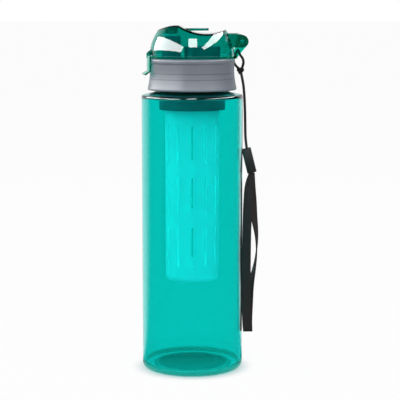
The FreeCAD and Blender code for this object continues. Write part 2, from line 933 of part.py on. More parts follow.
def make_spout_plug():
    body = make_body("spout_plug")
    plug_top = spout_top + s.plug_thick
    stem = s.boss_socket - s.plug_clearance
    turn(body, "pad", (
        (0, spout_top - s.plug_nub_length),
        (s.plug_nub_radius, spout_top - s.plug_nub_length),
        (s.plug_nub_radius, spout_top),
        (s.plug_radius, spout_top),
        (s.plug_radius, plug_top),
        (stem, plug_top),
        (stem, plug_top + s.boss_socket_depth - s.plug_clearance),
        (0, plug_top + s.boss_socket_depth - s.plug_clearance),
    ))
    bind(body, "Placement.Base.x", spout_x)
    return body


def make_latch_pin():
    half = lug_face + s.lug_thick - s.pin_recess
    return cylinder_on_y("latch_pin", latch_x, latch_z, s.latch_pin_radius, -half, 2 * half)


def make_latch_lever():
    body = make_body("latch_lever")
    inner = -lever_inner
    outer = inner - s.lever_thick
    top = latch_z - s.knuckle_radius - s.lug_gap
    flare = latch_z - s.lever_drop
    tip = latch_z - s.tip_drop
    hook_top = lip_bottom - s.hook_play
    hook_low = hook_top - s.hook_length
    turn(body, "plate", (
        (inner, top),
        (inner, hook_top + s.hook_reach),
        (inner + s.hook_reach, hook_top),
        (inner + s.hook_reach, hook_low),
        (inner, hook_low - s.hook_reach),
        (inner, flare),
        (s.tip_bevel - tip_reach, tip),
        (-tip_reach, tip + s.tip_bevel),
        (outer, flare + s.tip_bevel / 2),
        (outer, top),
    ), angle=s.lever_span)
    neck = sketch_on(body, "XZ_Plane", "neck_outline")
    neck_low = top - s.lever_thick
    draw(neck, ((inner, neck_low), (outer, neck_low), (outer, latch_z), (inner, latch_z)))
    extrude(body, "neck", neck, 2 * s.knuckle_half)
    knuckle = sketch_on(body, "XZ_Plane", "knuckle_circle")
    draw_circle(knuckle, latch_x, latch_z, s.knuckle_radius)
    extrude(body, "knuckle", knuckle, 2 * s.knuckle_half)
    bore = sketch_on(body, "XZ_Plane", "bore_circle")
    draw_circle(bore, latch_x, latch_z, s.latch_pin_radius + s.pin_clearance)
    pocket(body, "bore", bore, 2 * lug_face)
    return body


def make_infuser_head():
    body = make_body("infuser_head")
    throat = basket_radius + s.basket_clearance
    top = head_bottom + s.head_height
    turn(body, "ring", (
        (throat, head_bottom),
        (head_radius, head_bottom),
        (head_radius, top),
        (head_bore, top),
        (head_bore, seat_z),
        (throat, seat_z),
    ))
    return body


def make_infuser_basket():
    body = make_body("infuser_basket")
    floor = basket_bottom + s.basket_wall
    foot_inner = basket_foot_radius - s.basket_wall
    turn(body, "cup", (
        (0, basket_bottom),
        (basket_foot_radius, basket_bottom),
        (basket_radius, seat_z),
        (skirt_radius, seat_z),
        (skirt_radius, flange_top),
        (basket_radius - s.basket_wall, flange_top),
        (foot_inner, floor),
        (0, floor),
    ))
    fillet(body, "foot_edge", s.basket_round, on_circle(basket_foot_radius, basket_bottom))
    fillet(body, "floor_edge", s.basket_round - s.basket_wall, on_circle(foot_inner, floor))
    half = s.slot_width / 2
    slots = sketch_on(body, "YZ_Plane", "slot_outlines")
    for row in range(SLOT_ROWS):
        low = basket_bottom + s.slot_first + row * slot_pitch
        high = low + slot_length
        draw(slots, (
            (half, low + half, (0, low)),
            (half, high - half),
            (-half, high - half, (0, high)),
            (-half, low + half),
        ))
    cut = pocket(body, "slots", slots, head_radius, middle=False)
    pattern = body.newObject("PartDesign::PolarPattern", "slot_ring")
    pattern.Originals = [cut]
    axis = next(item for item in body.Origin.OriginFeatures if item.Role == "Z_Axis")
    pattern.Axis = (axis, [""])
    pattern.Angle = 360
    bind(pattern, "Occurrences", s.slot_count)
    body.Tip = pattern
    doc.recompute()
    return body


def make_infuser_seal():
    ring = doc.addObject("Part::Torus", "infuser_seal")
    ring.Label = "infuser_seal"
    bind(ring, "Radius1", ring_centre_radius)
    bind(ring, "Radius2", s.ring_section)
    bind(ring, "Placement.Base.z", ring_z)
    return ring


# The lanyard follows its chosen points

def cord_path(points):
    """Straight runs through the points, joined by tangent arcs as large as the runs allow."""
    spots = [Vector(*point) for point in points]
    edges = []
    radii = []
    here = spots[0]
    for before, corner, after in zip(spots, spots[1:], spots[2:]):
        back = before - corner
        ahead = after - corner
        reach = ROUND_SHARE * min(back.Length, ahead.Length)
        half_turn = (math.pi - back.getAngle(ahead)) / 2
        back.normalize()
        ahead.normalize()
        first = corner + back * reach
        last = corner + ahead * reach
        radius = reach / math.tan(half_turn)
        inward = (back + ahead).normalize()
        middle = corner + inward * (radius / math.cos(half_turn) - radius)
        edges.append(Part.LineSegment(here, first).toShape())
        edges.append(Part.Arc(first, middle, last).toShape())
        radii.append(radius)
        here = last
    edges.append(Part.LineSegment(here, spots[-1]).toShape())
    return Part.Wire(edges), radii


def make_cord(name, points):
    """A round cord along its points, with its radii and its volume printed."""
    path, radii = cord_path(points)
    radius = float(s.cord_diameter) / 2
    start = Vector(*points[0])
    heading = Vector(*points[1]) - start
    section = Part.Wire(Part.makeCircle(radius, start, heading))
    cord = doc.addObject("Part::Feature", name)
    cord.Label = name
    cord.Shape = path.makePipeShell([section], True, False)
    cord.Placement = FreeCAD.Placement()
    expected = math.pi * radius ** 2 * path.Length
    bends = ", ".join(f"{bend:.1f}" for bend in radii)
    print(f"{name}: length {path.Length:.1f}, radii {bends}")
    print(f"{name}: volume {cord.Shape.Volume:.1f} of {expected:.1f}")
    return cord


def make_strands():
    """The two cords that run side by side from the knot to the ferrule."""
    middle = KNOT_CENTRE[1]
    for name, side in (("lanyard_strand_front", -1), ("lanyard_strand_back", 1)):
        y = middle + side * STRAND_OFFSET
        yield make_cord(name, [(x, y, z) for x, z in STRAND_POINTS])


def make_lanyard_knot():
    body = make_body("lanyard_knot")
    half = s.knot_length / 2
    turn(body, "bead", (
        (0, -half),
        (s.knot_end_radius, -half),
        (s.knot_end_radius, half, (s.knot_radius, 0)),
        (0, half),
    ))
    body.Placement = FreeCAD.Placement(Vector(*KNOT_CENTRE), FreeCAD.Rotation())
    return body


def make_lanyard_ferrule():
    body = make_body("lanyard_ferrule")
    wide = s.ferrule_width / 2
    deep = s.ferrule_depth / 2
    section = sketch_on(body, "XY_Plane", "section")
    draw(section, ((-wide, -deep), (wide, -deep), (wide, deep), (-wide, deep)))
    extrude(body, "sleeve", section, s.ferrule_length, middle=False, back=True)
    fillet(body, "corners", s.ferrule_round,
           lambda edge: abs(edge.Length - float(s.ferrule_length)) < MATCH)
    body.Placement = ferrule_placement()
    return body


def ferrule_placement():
    turned = FreeCAD.Rotation(Vector(0, 1, 0), -float(s.ferrule_tilt))
    return FreeCAD.Placement(Vector(*FERRULE_TOP), turned)


def strap_section(centre, across, through):
    """One cross-section of the webbing, as a closed wire."""
    wide = across * (float(s.strap_width) / 2)
    thick = through * (float(s.strap_thick) / 2)
    corners = [centre - wide - thick, centre + wide - thick, centre + wide + thick, centre - wide + thick]
    return Part.makePolygon(corners + corners[:1])


def make_wrist_strap():
    """A webbing loop that leaves the ferrule, folds at its lowest point and comes back."""
    placement = ferrule_placement()
    mouth = -float(s.ferrule_length)
    ferrule_across = placement.Rotation.multVec(Vector(1, 0, 0))
    first = placement.multVec(Vector(0, -STRAP_SPREAD, mouth))
    last = placement.multVec(Vector(0, STRAP_SPREAD, mouth))
    narrow = float(s.ferrule_width) / float(s.strap_width) * MOUTH_SHARE
    spots = [first] + [Vector(*station[:3]) for station in STRAP_STATIONS] + [last]
    turns = [0] + [station[3] for station in STRAP_STATIONS] + [STRAP_STATIONS[-1][3]]
    sections = []
    for index in range(1, len(spots) - 1):
        run = (spots[index + 1] - spots[index - 1]).normalize()
        turned = math.radians(turns[index])
        across = Vector(math.cos(turned), math.sin(turned), 0)
        across = (across - run * across.dot(run)).normalize()
        sections.append(strap_section(spots[index], across, run.cross(across).normalize()))
    depth = Vector(0, 1, 0)
    sections.insert(0, strap_section(first, ferrule_across * narrow, depth))
    sections.append(strap_section(last, -ferrule_across * narrow, -depth))
    strap = doc.addObject("Part::Feature", "wrist_strap")
    strap.Label = "wrist_strap"
    strap.Shape = Part.makeLoft(sections, True, True)
    strap.Placement = FreeCAD.Placement()
    length = sum((b - a).Length for a, b in zip(spots, spots[1:]))
    expected = float(s.strap_width) * float(s.strap_thick) * length
    print(f"wrist_strap: length {length:.1f}, volume {strap.Shape.Volume:.1f} of about {expected:.1f}")
    return strap


def check(items):
    """Stop if any object failed or any piece is not one or more sound solids."""
    doc.recompute()
    for item in doc.Objects:
        if "Invalid" in item.State or "Error" in item.State:
            raise RuntimeError(f"{item.Name} failed: {item.State}")
    for item in items:
        shape = item.Shape
        if shape.isNull() or not shape.isValid() or not shape.Solids:
            raise RuntimeError(f"{item.Label} has no sound solid")


def main():
    items = [
        make_bottle_body(),
        make_mouth_seal(),
        make_screw_cap(),
        make_hinge_ring(),
        make_hinge_pin(),
        make_drinking_spout(),
        make_vent_valve(),
        make_flip_cover(),
        make_spout_plug(),
        make_latch_pin(),
        make_latch_lever(),
        make_infuser_head(),
        make_infuser_basket(),
        make_infuser_seal(),
        make_cord("lanyard_loop", LOOP_POINTS),
        make_lanyard_knot(),
        *make_strands(),
        make_lanyard_ferrule(),
        make_wrist_strap(),
    ]
    check(items)
    os.makedirs("parts", exist_ok=True)
    for item in items:
        item.Shape.exportStep(f"parts/{item.Label}.step")
        print(f"{item.Label}: {item.Shape.Volume / 1000:.3f} cm3, {len(item.Shape.Solids)} solid")


main()
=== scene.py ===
from math import cos, log, pi, radians, sin, tau

import bmesh
import bpy
from bpy.props import FloatProperty, FloatVectorProperty, IntProperty, PointerProperty
from bpy.types import Operator, Panel, PropertyGroup
from mathutils import Matrix, Vector


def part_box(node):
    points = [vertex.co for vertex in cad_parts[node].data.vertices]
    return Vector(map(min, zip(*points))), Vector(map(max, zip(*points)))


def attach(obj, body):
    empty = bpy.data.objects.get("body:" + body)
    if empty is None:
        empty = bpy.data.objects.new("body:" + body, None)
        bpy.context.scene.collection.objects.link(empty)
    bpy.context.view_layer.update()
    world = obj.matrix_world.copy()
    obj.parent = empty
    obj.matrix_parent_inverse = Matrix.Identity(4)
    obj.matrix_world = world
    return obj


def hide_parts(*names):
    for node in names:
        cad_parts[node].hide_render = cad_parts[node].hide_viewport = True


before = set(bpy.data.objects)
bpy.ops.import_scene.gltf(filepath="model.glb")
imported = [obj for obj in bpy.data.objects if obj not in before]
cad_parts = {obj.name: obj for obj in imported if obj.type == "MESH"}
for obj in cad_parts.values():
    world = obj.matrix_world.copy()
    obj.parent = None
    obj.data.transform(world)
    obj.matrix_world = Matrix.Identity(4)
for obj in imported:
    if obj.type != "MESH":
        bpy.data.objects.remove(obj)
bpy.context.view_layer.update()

bl_info = {
    "name": "Fruit Infuser Bottle",
    "version": (1, 0, 0),
    "blender": (4, 5, 0),
    "location": "View3D > Sidebar > Infuser Bottle",
    "description": "Finishes the pieces of a fruit infuser bottle and its stage",
    "category": "Object",
}

MM = 0.001

# Share of a clear plastic's tint that lies in its depth, powers of the tint that paint shade into the
# bottle's neck and punt, and the power of the tint for its cloudy heel
LID_DEPTH_SHARE = 0.22
BODY_DEPTH_SHARE = 0.08
NECK_PAINTED_SHADE = 16
PUNT_PAINTED_SHADE = 4
HEEL_DEPTH = 3
# Cloudiness of the bottle's heel, and how softly the zones of its base end
HEEL_CLOUD = 0.85
HEEL_BLUR = 1 * MM
PUNT_BLUR = 2 * MM
# The darkest tint, and a margin that keeps a volume's colour above black
DARKEST = 0.002
DENSITY_MARGIN = 1.01
# Light that passes through clear and frosted plastic
CLEAR_PASSING = 0.97
FROSTED_PASSING = 0.7
# Heights of the fine reliefs
RIPPLE = 0.02 * MM
GRAIN = 0.01 * MM
TURNING = 0.004 * MM
WEAVE = 0.08 * MM
# The collar's painted shade lines, where its two faint grooves are: their heights, the distances over which
# their shade fades, and its two levels
CAP_SHADE_LINES = (213 * MM, 209 * MM)
SHADE_LINE_FADE = (0.15 * MM, 0.6 * MM, 0.4, 0.0)
# Fibres: their gloss, the braid's strands each way, and the webbing's ribs across and along
FIBRE_GLOSS = 0.04
BRAID_STRANDS = 4
WARP_RIBS = 14
WEFT_PITCH = 0.6 * MM

# Fineness of the meshes
ROUND_SIDES = 48
CORD_SIDES = 14
CORD_POINTS = 24
KNOT_STEPS = 96
STRAP_POINTS = 16
STRAP_COLUMNS = 8
CORNER_SEGMENTS = 6
HALVINGS = 40
# Limits for one point, also as a share of a cord, for a flat face, and for a smooth and a blunt edge
SAME_POINT = 0.0001 * MM
CLOSE = 0.001 * MM
SEAM_MERGE = 0.002 * MM
CORD_MERGE = 0.01
FLAT = radians(1)
CREASE = radians(35)
SHARP = radians(60)

# The stage: the lamps' aim, the way to the white backdrop, its edge and level in gloss, and the dim room
LID_CENTRE = Vector((0, 0, 0.235))
BACKDROP = (-0.15, 0.99, 0)
BACKDROP_EDGE = (0.42, 0.75)
BACKDROP_GLOSS = 0.85
DIM_LEVEL = 0.02
# Lamps: energy for each unit of radiance and area, distances from the aim in metres, and their side
LAMP_FACTOR = 4
PANEL_DISTANCE = 1.0
LAMP_DISTANCE = 1.3
LAMP_SIDE = 0.9
# The floor: its size and grey, and the radii in metres between which it turns to a level of white
FLOOR_REACH = 20
FLOOR_LEVEL = -0.1 * MM
FLOOR_GREY = 0.55
FLOOR_OPEN = (0.028, 0.046, 0.95)
FLOOR_UNDER = (0.022, 0.029, 0.97)
FLOOR_AWAY = (0.037, 0.050, 1.0)

# Routes of the lanyard in millimetres
KNOT_CENTRE = (34.5, 9.5, 214.1)
FERRULE_TOP = (38.8, 9.5, 158.2)
LOOP_POINTS = (
    (35.4, 8.3, 215.6), (36.7, 7.7, 218.4), (36.5, 7.0, 222.4), (33.9, 6.3, 225.6), (32.8, 6.1, 228.9),
    (32.8, 12.8, 228.9), (30.8, 13.2, 225.3), (29.5, 13.1, 221.2), (30.7, 12.3, 217.7), (33.3, 10.8, 215.6),
)
STRAND_POINTS = (
    (34.9, 212.6), (36.4, 206.4), (37.3, 198.4), (37.9, 186.6), (38.15, 174.0), (38.3, 164.6), (39.5, 157.0),
)
# Strap stations: x, y, z and the turn of the webbing's width about its run in degrees, and its ends' turns
STRAP_STATIONS = (
    (41.4, 8.4, 133.6, 0), (40.5, 8.0, 122.0, -14), (39.7, 7.6, 106.0, -28), (39.4, 7.4, 86.0, -33),
    (39.3, 7.4, 66.0, -30), (39.4, 7.5, 46.0, -16), (39.9, 7.7, 30.0, 0), (40.5, 8.0, 24.8, 0),
    (40.7, 9.5, 23.2, 0), (40.7, 11.0, 24.8, 0), (40.5, 11.5, 30.0, 0), (41.1, 11.8, 44.0, -25),
    (42.7, 12.2, 58.0, -58), (45.6, 12.4, 71.0, -82), (47.1, 12.4, 83.0, -92), (47.0, 12.3, 95.0, -107),
    (45.0, 11.9, 107.0, -127), (43.6, 11.4, 120.0, -152), (42.2, 10.8, 131.6, -178),
)
STRAP_END_TURNS = (0, -180)

# The cover in millimetres: its wall as (height, radius), its roof as (x, height) and a limit above both
COVER_WALL = ((225.3, 29.9), (234.6, 28.45), (243.1, 24.1))
COVER_WALL_LEAN = -0.677
COVER_RISE = ((-24.0, 243.1), (-17.0, 245.7), (-9.3, 246.5))
COVER_DIP = ((-9.3, 246.5), (8.0, 240.8), (24.0, 243.5))
COVER_END_SLOPE = 0.5
COVER_LIMIT = 255
HINGE = (35.2, 235.3)
HINGE_TAILS = ((27.4, 231.0), (24.4, 240.9), (31.7, 240.9))
LATCH = (-30.6, 226.6)
LATCH_TAILS = ((-28.5, 229.8), (-28.5, 225.3))


def length(name, description, millimetres):
    return FloatProperty(name=name, description=description, default=millimetres * MM,
                         unit="LENGTH", precision=5)


def angle(name, description, degrees):
    return FloatProperty(name=name, description=description, default=radians(degrees), unit="ROTATION")


def share(name, description, value):
    return FloatProperty(name=name, description=description, default=value, min=0, subtype="FACTOR")


def count(name, description, value, least=3):
    return IntProperty(name=name, description=description, default=value, min=least)


def linear(level):
    """Scene value of a display level from 0 to 255."""
    level = level / 255
    return level / 12.92 if level <= 0.04045 else ((level + 0.055) / 1.055) ** 2.4


def colour(name, description, red, green, blue):
    return FloatVectorProperty(name=name, description=description, subtype="COLOR", size=3, min=0, max=1,
                               default=(linear(red), linear(green), linear(blue)))


class BottleSizes(PropertyGroup):
    """Sizes of the clear bottle"""
    wall: length("Wall", "Thickness of the round wall", 2.0)
    base_round: length("Base rounding", "Outer rounding of the base", 4.4)
    floor_top: length("Floor level", "Top of the floor inside the bottle", 3.6)
    punt_depth: length("Punt depth", "How far the base is pushed up", 1.6)
    punt_radius: length("Punt radius", "Radius of the pushed-up base", 26.0)
    punt_slope: length("Punt slope", "Width of the slope round the punt", 1.5)
    punt_round: length("Punt rounding", "Rounding of the slope's two edges", 0.6)
    shoulder: length("Shoulder", "Height where the round wall ends", 197.5)
    shoulder_rise: length("Shoulder rise", "Rise from the wall to the neck", 2.1)
    shoulder_round: length("Shoulder rounding", "Rounding of the shoulder's edge", 1.5)
    inner_round: length("Inner rounding", "Rounding of the shoulder's edges inside", 1.0)
    neck_radius: length("Neck radius", "Outer radius of the neck", 26.5)
    neck_wall: length("Neck wall", "Thickness of the neck", 2.2)
    neck_round: length("Neck rounding", "Rounding at the foot of the neck", 0.5)
    rim_round: length("Rim rounding", "Rounding of the mouth's rim", 0.5)
    gate_radius: length("Gate radius", "Radius of the moulding mark under the base", 3.0)
    ring_depth: length("Ring depth", "Height of the rings under the base", 0.5)
    ring_round: length("Ring rounding", "Rounding of the rings and the moulding mark", 0.2)
    ring_count: count("Rings", "Rings moulded under the base", 3, least=0)
    thread_crest: length("Thread crest", "Radius of the thread's crest", 27.9)
    thread_sink: length("Thread sink", "Reach of the thread into the neck", 0.5)
    thread_root: length("Thread root", "Width of the thread at the neck", 1.9)
    thread_tip: length("Thread tip", "Width of the thread at its crest", 0.8)
    thread_start: length("Thread start", "Height where the thread begins", 204.0)
    thread_rise: length("Thread rise", "How far the thread climbs", 6.0)
    thread_pitch: length("Thread pitch", "Climb of the thread in one turn", 4.0)
    steps: count("Steps", "Segments round the bottle", 192)


class CoverSizes(PropertyGroup):
    """Sizes of the flip cover"""
    wall: length("Wall", "Thickness of the dome", 1.8)
    edge_round: length("Edge rounding", "Rounding of the cover's edges", 0.4)
    arm_width: length("Arm width", "Width of the hinge arm", 15.0)
    arm_radius: length("Arm radius", "Radius of the arm's end", 4.45)
    lug_inner: length("Lug inner side", "From the middle to the near side of a latch lug", 5.2)
    lug_outer: length("Lug outer side", "From the middle to the far side of a latch lug", 7.5)
    lug_radius: length("Lug radius", "Radius of a latch lug", 1.4)
    tab_start: length("Tab start", "Where the thumb tab leaves the dome", -6.0)
    tab_end: length("Tab end", "Tip of the tab", 11.9)
    tab_low: length("Tab underside", "Height of the tab's underside", 242.7)
    tab_top: length("Tab top", "Height of the tab's top", 244.4)
    tab_width: length("Tab width", "Width of the tab", 12.0)
    tab_round: share("Tab rounding", "Rounding of the tab, as a share of its width", 0.45)
    boss_x: length("Boss place", "Where the plug's boss stands", -14.65)
    boss_radius: length("Boss radius", "Radius of the plug's boss", 4.6)
    boss_low: length("Boss underside", "Height of the boss's underside", 240.3)
    boss_top: length("Boss top", "Height of the boss's end in the roof", 245.2)
    socket_radius: length("Socket radius", "Radius of the plug's socket", 2.0)
    socket_depth: length("Socket depth", "Depth of the plug's socket", 2.0)
    columns: count("Columns", "Segments round the dome", 192)
    rows: count("Rows", "Segments up the dome", 32)


class LanyardSizes(PropertyGroup):
    """Sizes of the wrist lanyard"""
    cord: length("Cord", "Diameter of the round cord", 1.85)
    braid_pitch: length("Braid pitch", "Run of one turn of the cord's braid", 3.2)
    strand_offset: length("Strand offset", "From the middle to each of the two strands", 1.15)
    strap_width: length("Strap width", "Width of the webbing", 6.8)
    strap_thick: length("Strap thickness", "Thickness of the webbing", 1.0)
    strap_spread: length("Strap spread", "From the middle to each strap end in the sleeve", 0.9)
    strap_pinch: share("Strap pinch", "Width of the strap's ends, as a share", 0.6)
    sleeve_width: length("Sleeve width", "Width of the sleeve", 6.8)
    sleeve_depth: length("Sleeve depth", "Depth of the sleeve", 4.6)
    sleeve_length: length("Sleeve length", "Length of the sleeve", 18.2)
    sleeve_round: length("Sleeve rounding", "Rounding of the sleeve's upright edges", 1.3)
    sleeve_slope: length("Sleeve slope", "Width of the slope into each end's recess", 0.7)
    sleeve_recess: length("Sleeve recess", "Depth of the recess in each end of the sleeve", 0.8)
    sleeve_rim: length("Sleeve rim", "Rounding of the rims at the sleeve's ends", 0.25)
    sleeve_tilt: angle("Sleeve tilt", "Lean of the sleeve", 14)


class FinishColours(PropertyGroup):
    """Colours of the finishes"""
    body_teal: colour("Bottle teal", "White seen through one wall of the bottle", 36, 224, 218)
    lid_teal: colour("Lid teal", "White seen through one wall of the lid", 16, 188, 176)
    hinge_teal: colour("Hinge teal", "White seen through one wall of the hinge and latch", 24, 212, 194)
    grey: colour("Grey", "Moulded grey of the cap", 110, 116, 126)
    dark_grey: colour("Dark grey", "Moulded grey of the infuser's head", 74, 78, 84)
    frosted: colour("Frosted", "Frosted plastic of the basket", 196, 250, 252)
    rubber: colour("Rubber", "Seals and valve", 205, 208, 210)
    sleeve: colour("Sleeve", "Moulded sleeve of the lanyard", 28, 26, 26)
    black: colour("Black", "Dyed cord and webbing", 46, 40, 40)


class StageSizes(PropertyGroup):
    """The camera and the light from all round"""
    camera_x: length("Camera x", "Sideways place of the camera", 5.6)
    camera_distance: length("Camera distance", "From the bottle's axis to the camera", 1022)
    camera_height: length("Camera height", "Height of the camera", 262)
    camera_pitch: angle("Camera pitch", "How far the camera looks down", 7.81)
    lens: FloatProperty(name="Lens", description="Focal length in millimetres", default=129.3)
    ambient: share("Ambient", "Light from all round", 0.62)


class InfuserBottle(PropertyGroup):
    """Everything that a user may change"""
    bottle: PointerProperty(type=BottleSizes)
    cover: PointerProperty(type=CoverSizes)
    lanyard: PointerProperty(type=LanyardSizes)
    colours: PointerProperty(type=FinishColours)
    stage: PointerProperty(type=StageSizes)


def settings():
    return bpy.context.scene.infuser_bottle


# Shader maths

class Wire:
    """An output of a shader node, whose arithmetic adds Math nodes."""

    def __init__(self, finish, socket):
        self.finish = finish
        self.socket = socket

    def __add__(self, other):
        return self.finish.maths("ADD", self, other)

    def __radd__(self, other):
        return self.finish.maths("ADD", other, self)

    def __sub__(self, other):
        return self.finish.maths("SUBTRACT", self, other)

    def __rsub__(self, other):
        return self.finish.maths("SUBTRACT", other, self)

    def __mul__(self, other):
        return self.finish.maths("MULTIPLY", self, other)

    def __rmul__(self, other):
        return self.finish.maths("MULTIPLY", other, self)


class Finish:
    """A node tree under construction: a material's or the world's."""

    def __init__(self, owner):
        owner.use_nodes = True
        self.owner = owner
        self.tree = owner.node_tree
        self.tree.nodes.clear()

    def node(self, kind, choices=None, inputs=None, output=0):
        """Add a node, apply its settings, fill its sockets and give one of its outputs."""
        node = self.tree.nodes.new(kind)
        for name, value in (choices or {}).items():
            setattr(node, name, value)
        for name, value in (inputs or {}).items():
            if isinstance(value, Wire):
                self.tree.links.new(value.socket, node.inputs[name])
            else:
                node.inputs[name].default_value = value
        return Wire(self, node.outputs[output]) if node.outputs else None

    def maths(self, operation, *values):
        return self.node("ShaderNodeMath", {"operation": operation}, dict(enumerate(values)))

    def vectors(self, operation, *values, output=0):
        return self.node("ShaderNodeVectorMath", {"operation": operation}, dict(enumerate(values)), output)

    def place(self, source="Object"):
        """Coordinates of the shaded point: Object, UV or Generated."""
        return self.node("ShaderNodeTexCoord", output=source)

    def axis(self, letter, source="Object"):
        return self.node("ShaderNodeSeparateXYZ", {}, {"Vector": self.place(source)}, letter)

    def ray(self, output):
        return self.node("ShaderNodeLightPath", output=output)

    def noise(self, scale, detail=2.0, where=None):
        """Noise from about 0 to 1 with features of 1 / scale metres."""
        inputs = {"Vector": where or self.place(), "Scale": scale, "Detail": detail}
        return self.node("ShaderNodeTexNoise", {}, inputs, "Fac")

    def blend(self, factor, first, second):
        """Mix two colours."""
        inputs = {0: factor, 6: opaque(first), 7: opaque(second)}
        return self.node("ShaderNodeMix", {"data_type": "RGBA"}, inputs, 2)

    def fade(self, value, start, end, low=0.0, high=1.0):
        """A smooth step from low at the start value to high at the end value."""
        inputs = {"Value": value, "From Min": start, "From Max": end, "To Min": low, "To Max": high}
        return self.node("ShaderNodeMapRange", {"interpolation_type": "SMOOTHSTEP"}, inputs)

    def bump(self, height, distance):
        """A Normal from a height from 0 to 1 over a distance in metres."""
        return self.node("ShaderNodeBump", {}, {"Height": height, "Distance": distance})

    def principled(self, **inputs):
        named = {name.replace("_", " "): value for name, value in inputs.items()}
        return self.node("ShaderNodeBsdfPrincipled", {}, named)

    def glow(self, level):
        return self.node("ShaderNodeEmission", {}, {"Color": grey(level)})

    def mix(self, factor, first, second):
        return self.node("ShaderNodeMixShader", {}, {0: factor, 1: first, 2: second})

    def close(self, surface, **others):
        """End with a surface and perhaps a Volume, and give the material."""
        self.node("ShaderNodeOutputMaterial", {}, {"Surface": surface, **others})
        return self.owner

    def solid(self, relief, distance, **inputs):
        """Close with one opaque surface that has a fine relief."""
        return self.close(self.principled(Normal=self.bump(relief, distance), **inputs))


def opaque(value):
    return value if isinstance(value, Wire) else (*value[:3], 1)


def grey(level):
    return (level, level, level, 1)


def shaded(base, factor):
    return [min(level * factor, 1) for level in base]


def deeper(tint, power):
    """A tint through a different depth of plastic."""
    return [level ** power for level in tint]


def new_finish(name):
    return Finish(bpy.data.materials.new(name))


def absorption(finish, through, thickness):
    """A volume that turns white into the colour through over one thickness."""
    loss = [-log(max(level, DARKEST)) / thickness for level in through]
    density = max(loss) * DENSITY_MARGIN
    tint = [1 - level / density for level in loss]
    return finish.node("ShaderNodeVolumeAbsorption", {}, {"Color": (*tint, 1), "Density": density})


def let_through(finish, surface, level, *rays):
    """The surface, with these kinds of ray passing straight on at a level."""
    clear = finish.node("ShaderNodeBsdfTransparent", {}, {"Color": grey(level)})
    for ray in rays:
        surface = finish.mix(finish.ray(ray), surface, clear)
    return surface


def clear_plastic(name, through, thickness, rough, depth_share=LID_DEPTH_SHARE, zones=None):
    """Polished clear plastic, tinted at its faces and through its depth."""
    finish = new_finish(name)
    faces = deeper(through, 1 - depth_share)
    smooth, dull = rough
    haze = smooth + (dull - smooth) * finish.noise(scale=90)
    ripple = finish.bump(finish.noise(scale=160, detail=1.0), RIPPLE)
    tint, cloud = zones(finish, faces) if zones else (opaque(faces), None)
    plastic = finish.principled(Base_Color=tint, Roughness=haze, IOR=1.53, Transmission_Weight=1.0,
                                Normal=ripple)
    if cloud:
        cloudy = finish.principled(Base_Color=opaque(deeper(faces, HEEL_DEPTH)), Roughness=0.35,
                                   Specular_IOR_Level=0.1)
        plastic = finish.mix(cloud, plastic, cloudy)
    surface = let_through(finish, plastic, CLEAR_PASSING, "Is Diffuse Ray", "Is Shadow Ray")
    return finish.close(surface, Volume=absorption(finish, deeper(through, depth_share), thickness))


def bottle_zones(finish, faces):
    """The bottle's tint with painted shade in its neck and its punt, and the share of cloudy plastic in its
    heel.
    """
    s = settings().bottle
    height = finish.axis("Z")
    out = finish.vectors("LENGTH", finish.vectors("MULTIPLY", finish.place(), (1, 1, 0)), output="Value")
    neck = finish.fade(height, s.shoulder, s.shoulder + s.shoulder_rise)
    below = finish.fade(height, s.floor_top * 2, s.floor_top)
    punt = below * finish.fade(out, s.punt_radius, s.punt_radius - PUNT_BLUR)
    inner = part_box("bottle_body")[1].x - s.wall
    heel = below * finish.fade(out, inner - HEEL_BLUR, inner)
    # Painted shade: the tint deepens in the neck, where the cap shades it.
    tint = finish.blend(neck, faces, deeper(faces, NECK_PAINTED_SHADE))
    # Painted shade: the tint deepens in the punt, over the shaded floor under the bottle.
    return finish.blend(punt, tint, deeper(faces, PUNT_PAINTED_SHADE)), heel * HEEL_CLOUD


def frosted_plastic(name, base):
    """Pale frosted plastic of the basket."""
    finish = new_finish(name)
    rough = 0.3 + 0.15 * finish.noise(scale=140)
    plastic = finish.principled(Base_Color=opaque(base), Roughness=rough, IOR=1.5, Transmission_Weight=0.45)
    return finish.close(let_through(finish, plastic, FROSTED_PASSING, "Is Shadow Ray"))


def satin_plastic(name, base, rough, shade_lines=()):
    """Moulded plastic with a fine satin grain, and painted shade lines at the given heights."""
    finish = new_finish(name)
    fine = finish.noise(scale=2400)
    broad = finish.noise(scale=60)
    tone_and_painted_light = finish.blend(broad * 0.7 + fine * 0.3, shaded(base, 0.9), shaded(base, 1.1))
    height = finish.axis("Z")
    # Painted shade: at each given height the tone darkens to a thin line.
    for shade_height in shade_lines:
        off = finish.maths("ABSOLUTE", height - shade_height)
        tone_and_painted_light = finish.blend(finish.fade(off, *SHADE_LINE_FADE), tone_and_painted_light, shaded(base, 0.3))
    return finish.solid(fine, GRAIN, Base_Color=tone_and_painted_light, Roughness=rough - 0.06 + 0.12 * fine,
                        Specular_IOR_Level=0.35)


def soft_rubber(name, base):
    finish = new_finish(name)
    fine = finish.noise(scale=900)
    return finish.solid(fine, GRAIN, Base_Color=opaque(base), Roughness=0.5 + 0.15 * fine,
                        Specular_IOR_Level=0.25)


def turned_steel(name):
    finish = new_finish(name)
    ring = finish.node("ShaderNodeMapping", {}, {"Vector": finish.place(), "Scale": (400, 9000, 400)})
    line = finish.noise(scale=1.0, detail=3.0, where=ring)
    return finish.solid(line, TURNING, Base_Color=(0.32, 0.33, 0.34, 1), Metallic=1.0,
                        Roughness=0.16 + 0.2 * line)


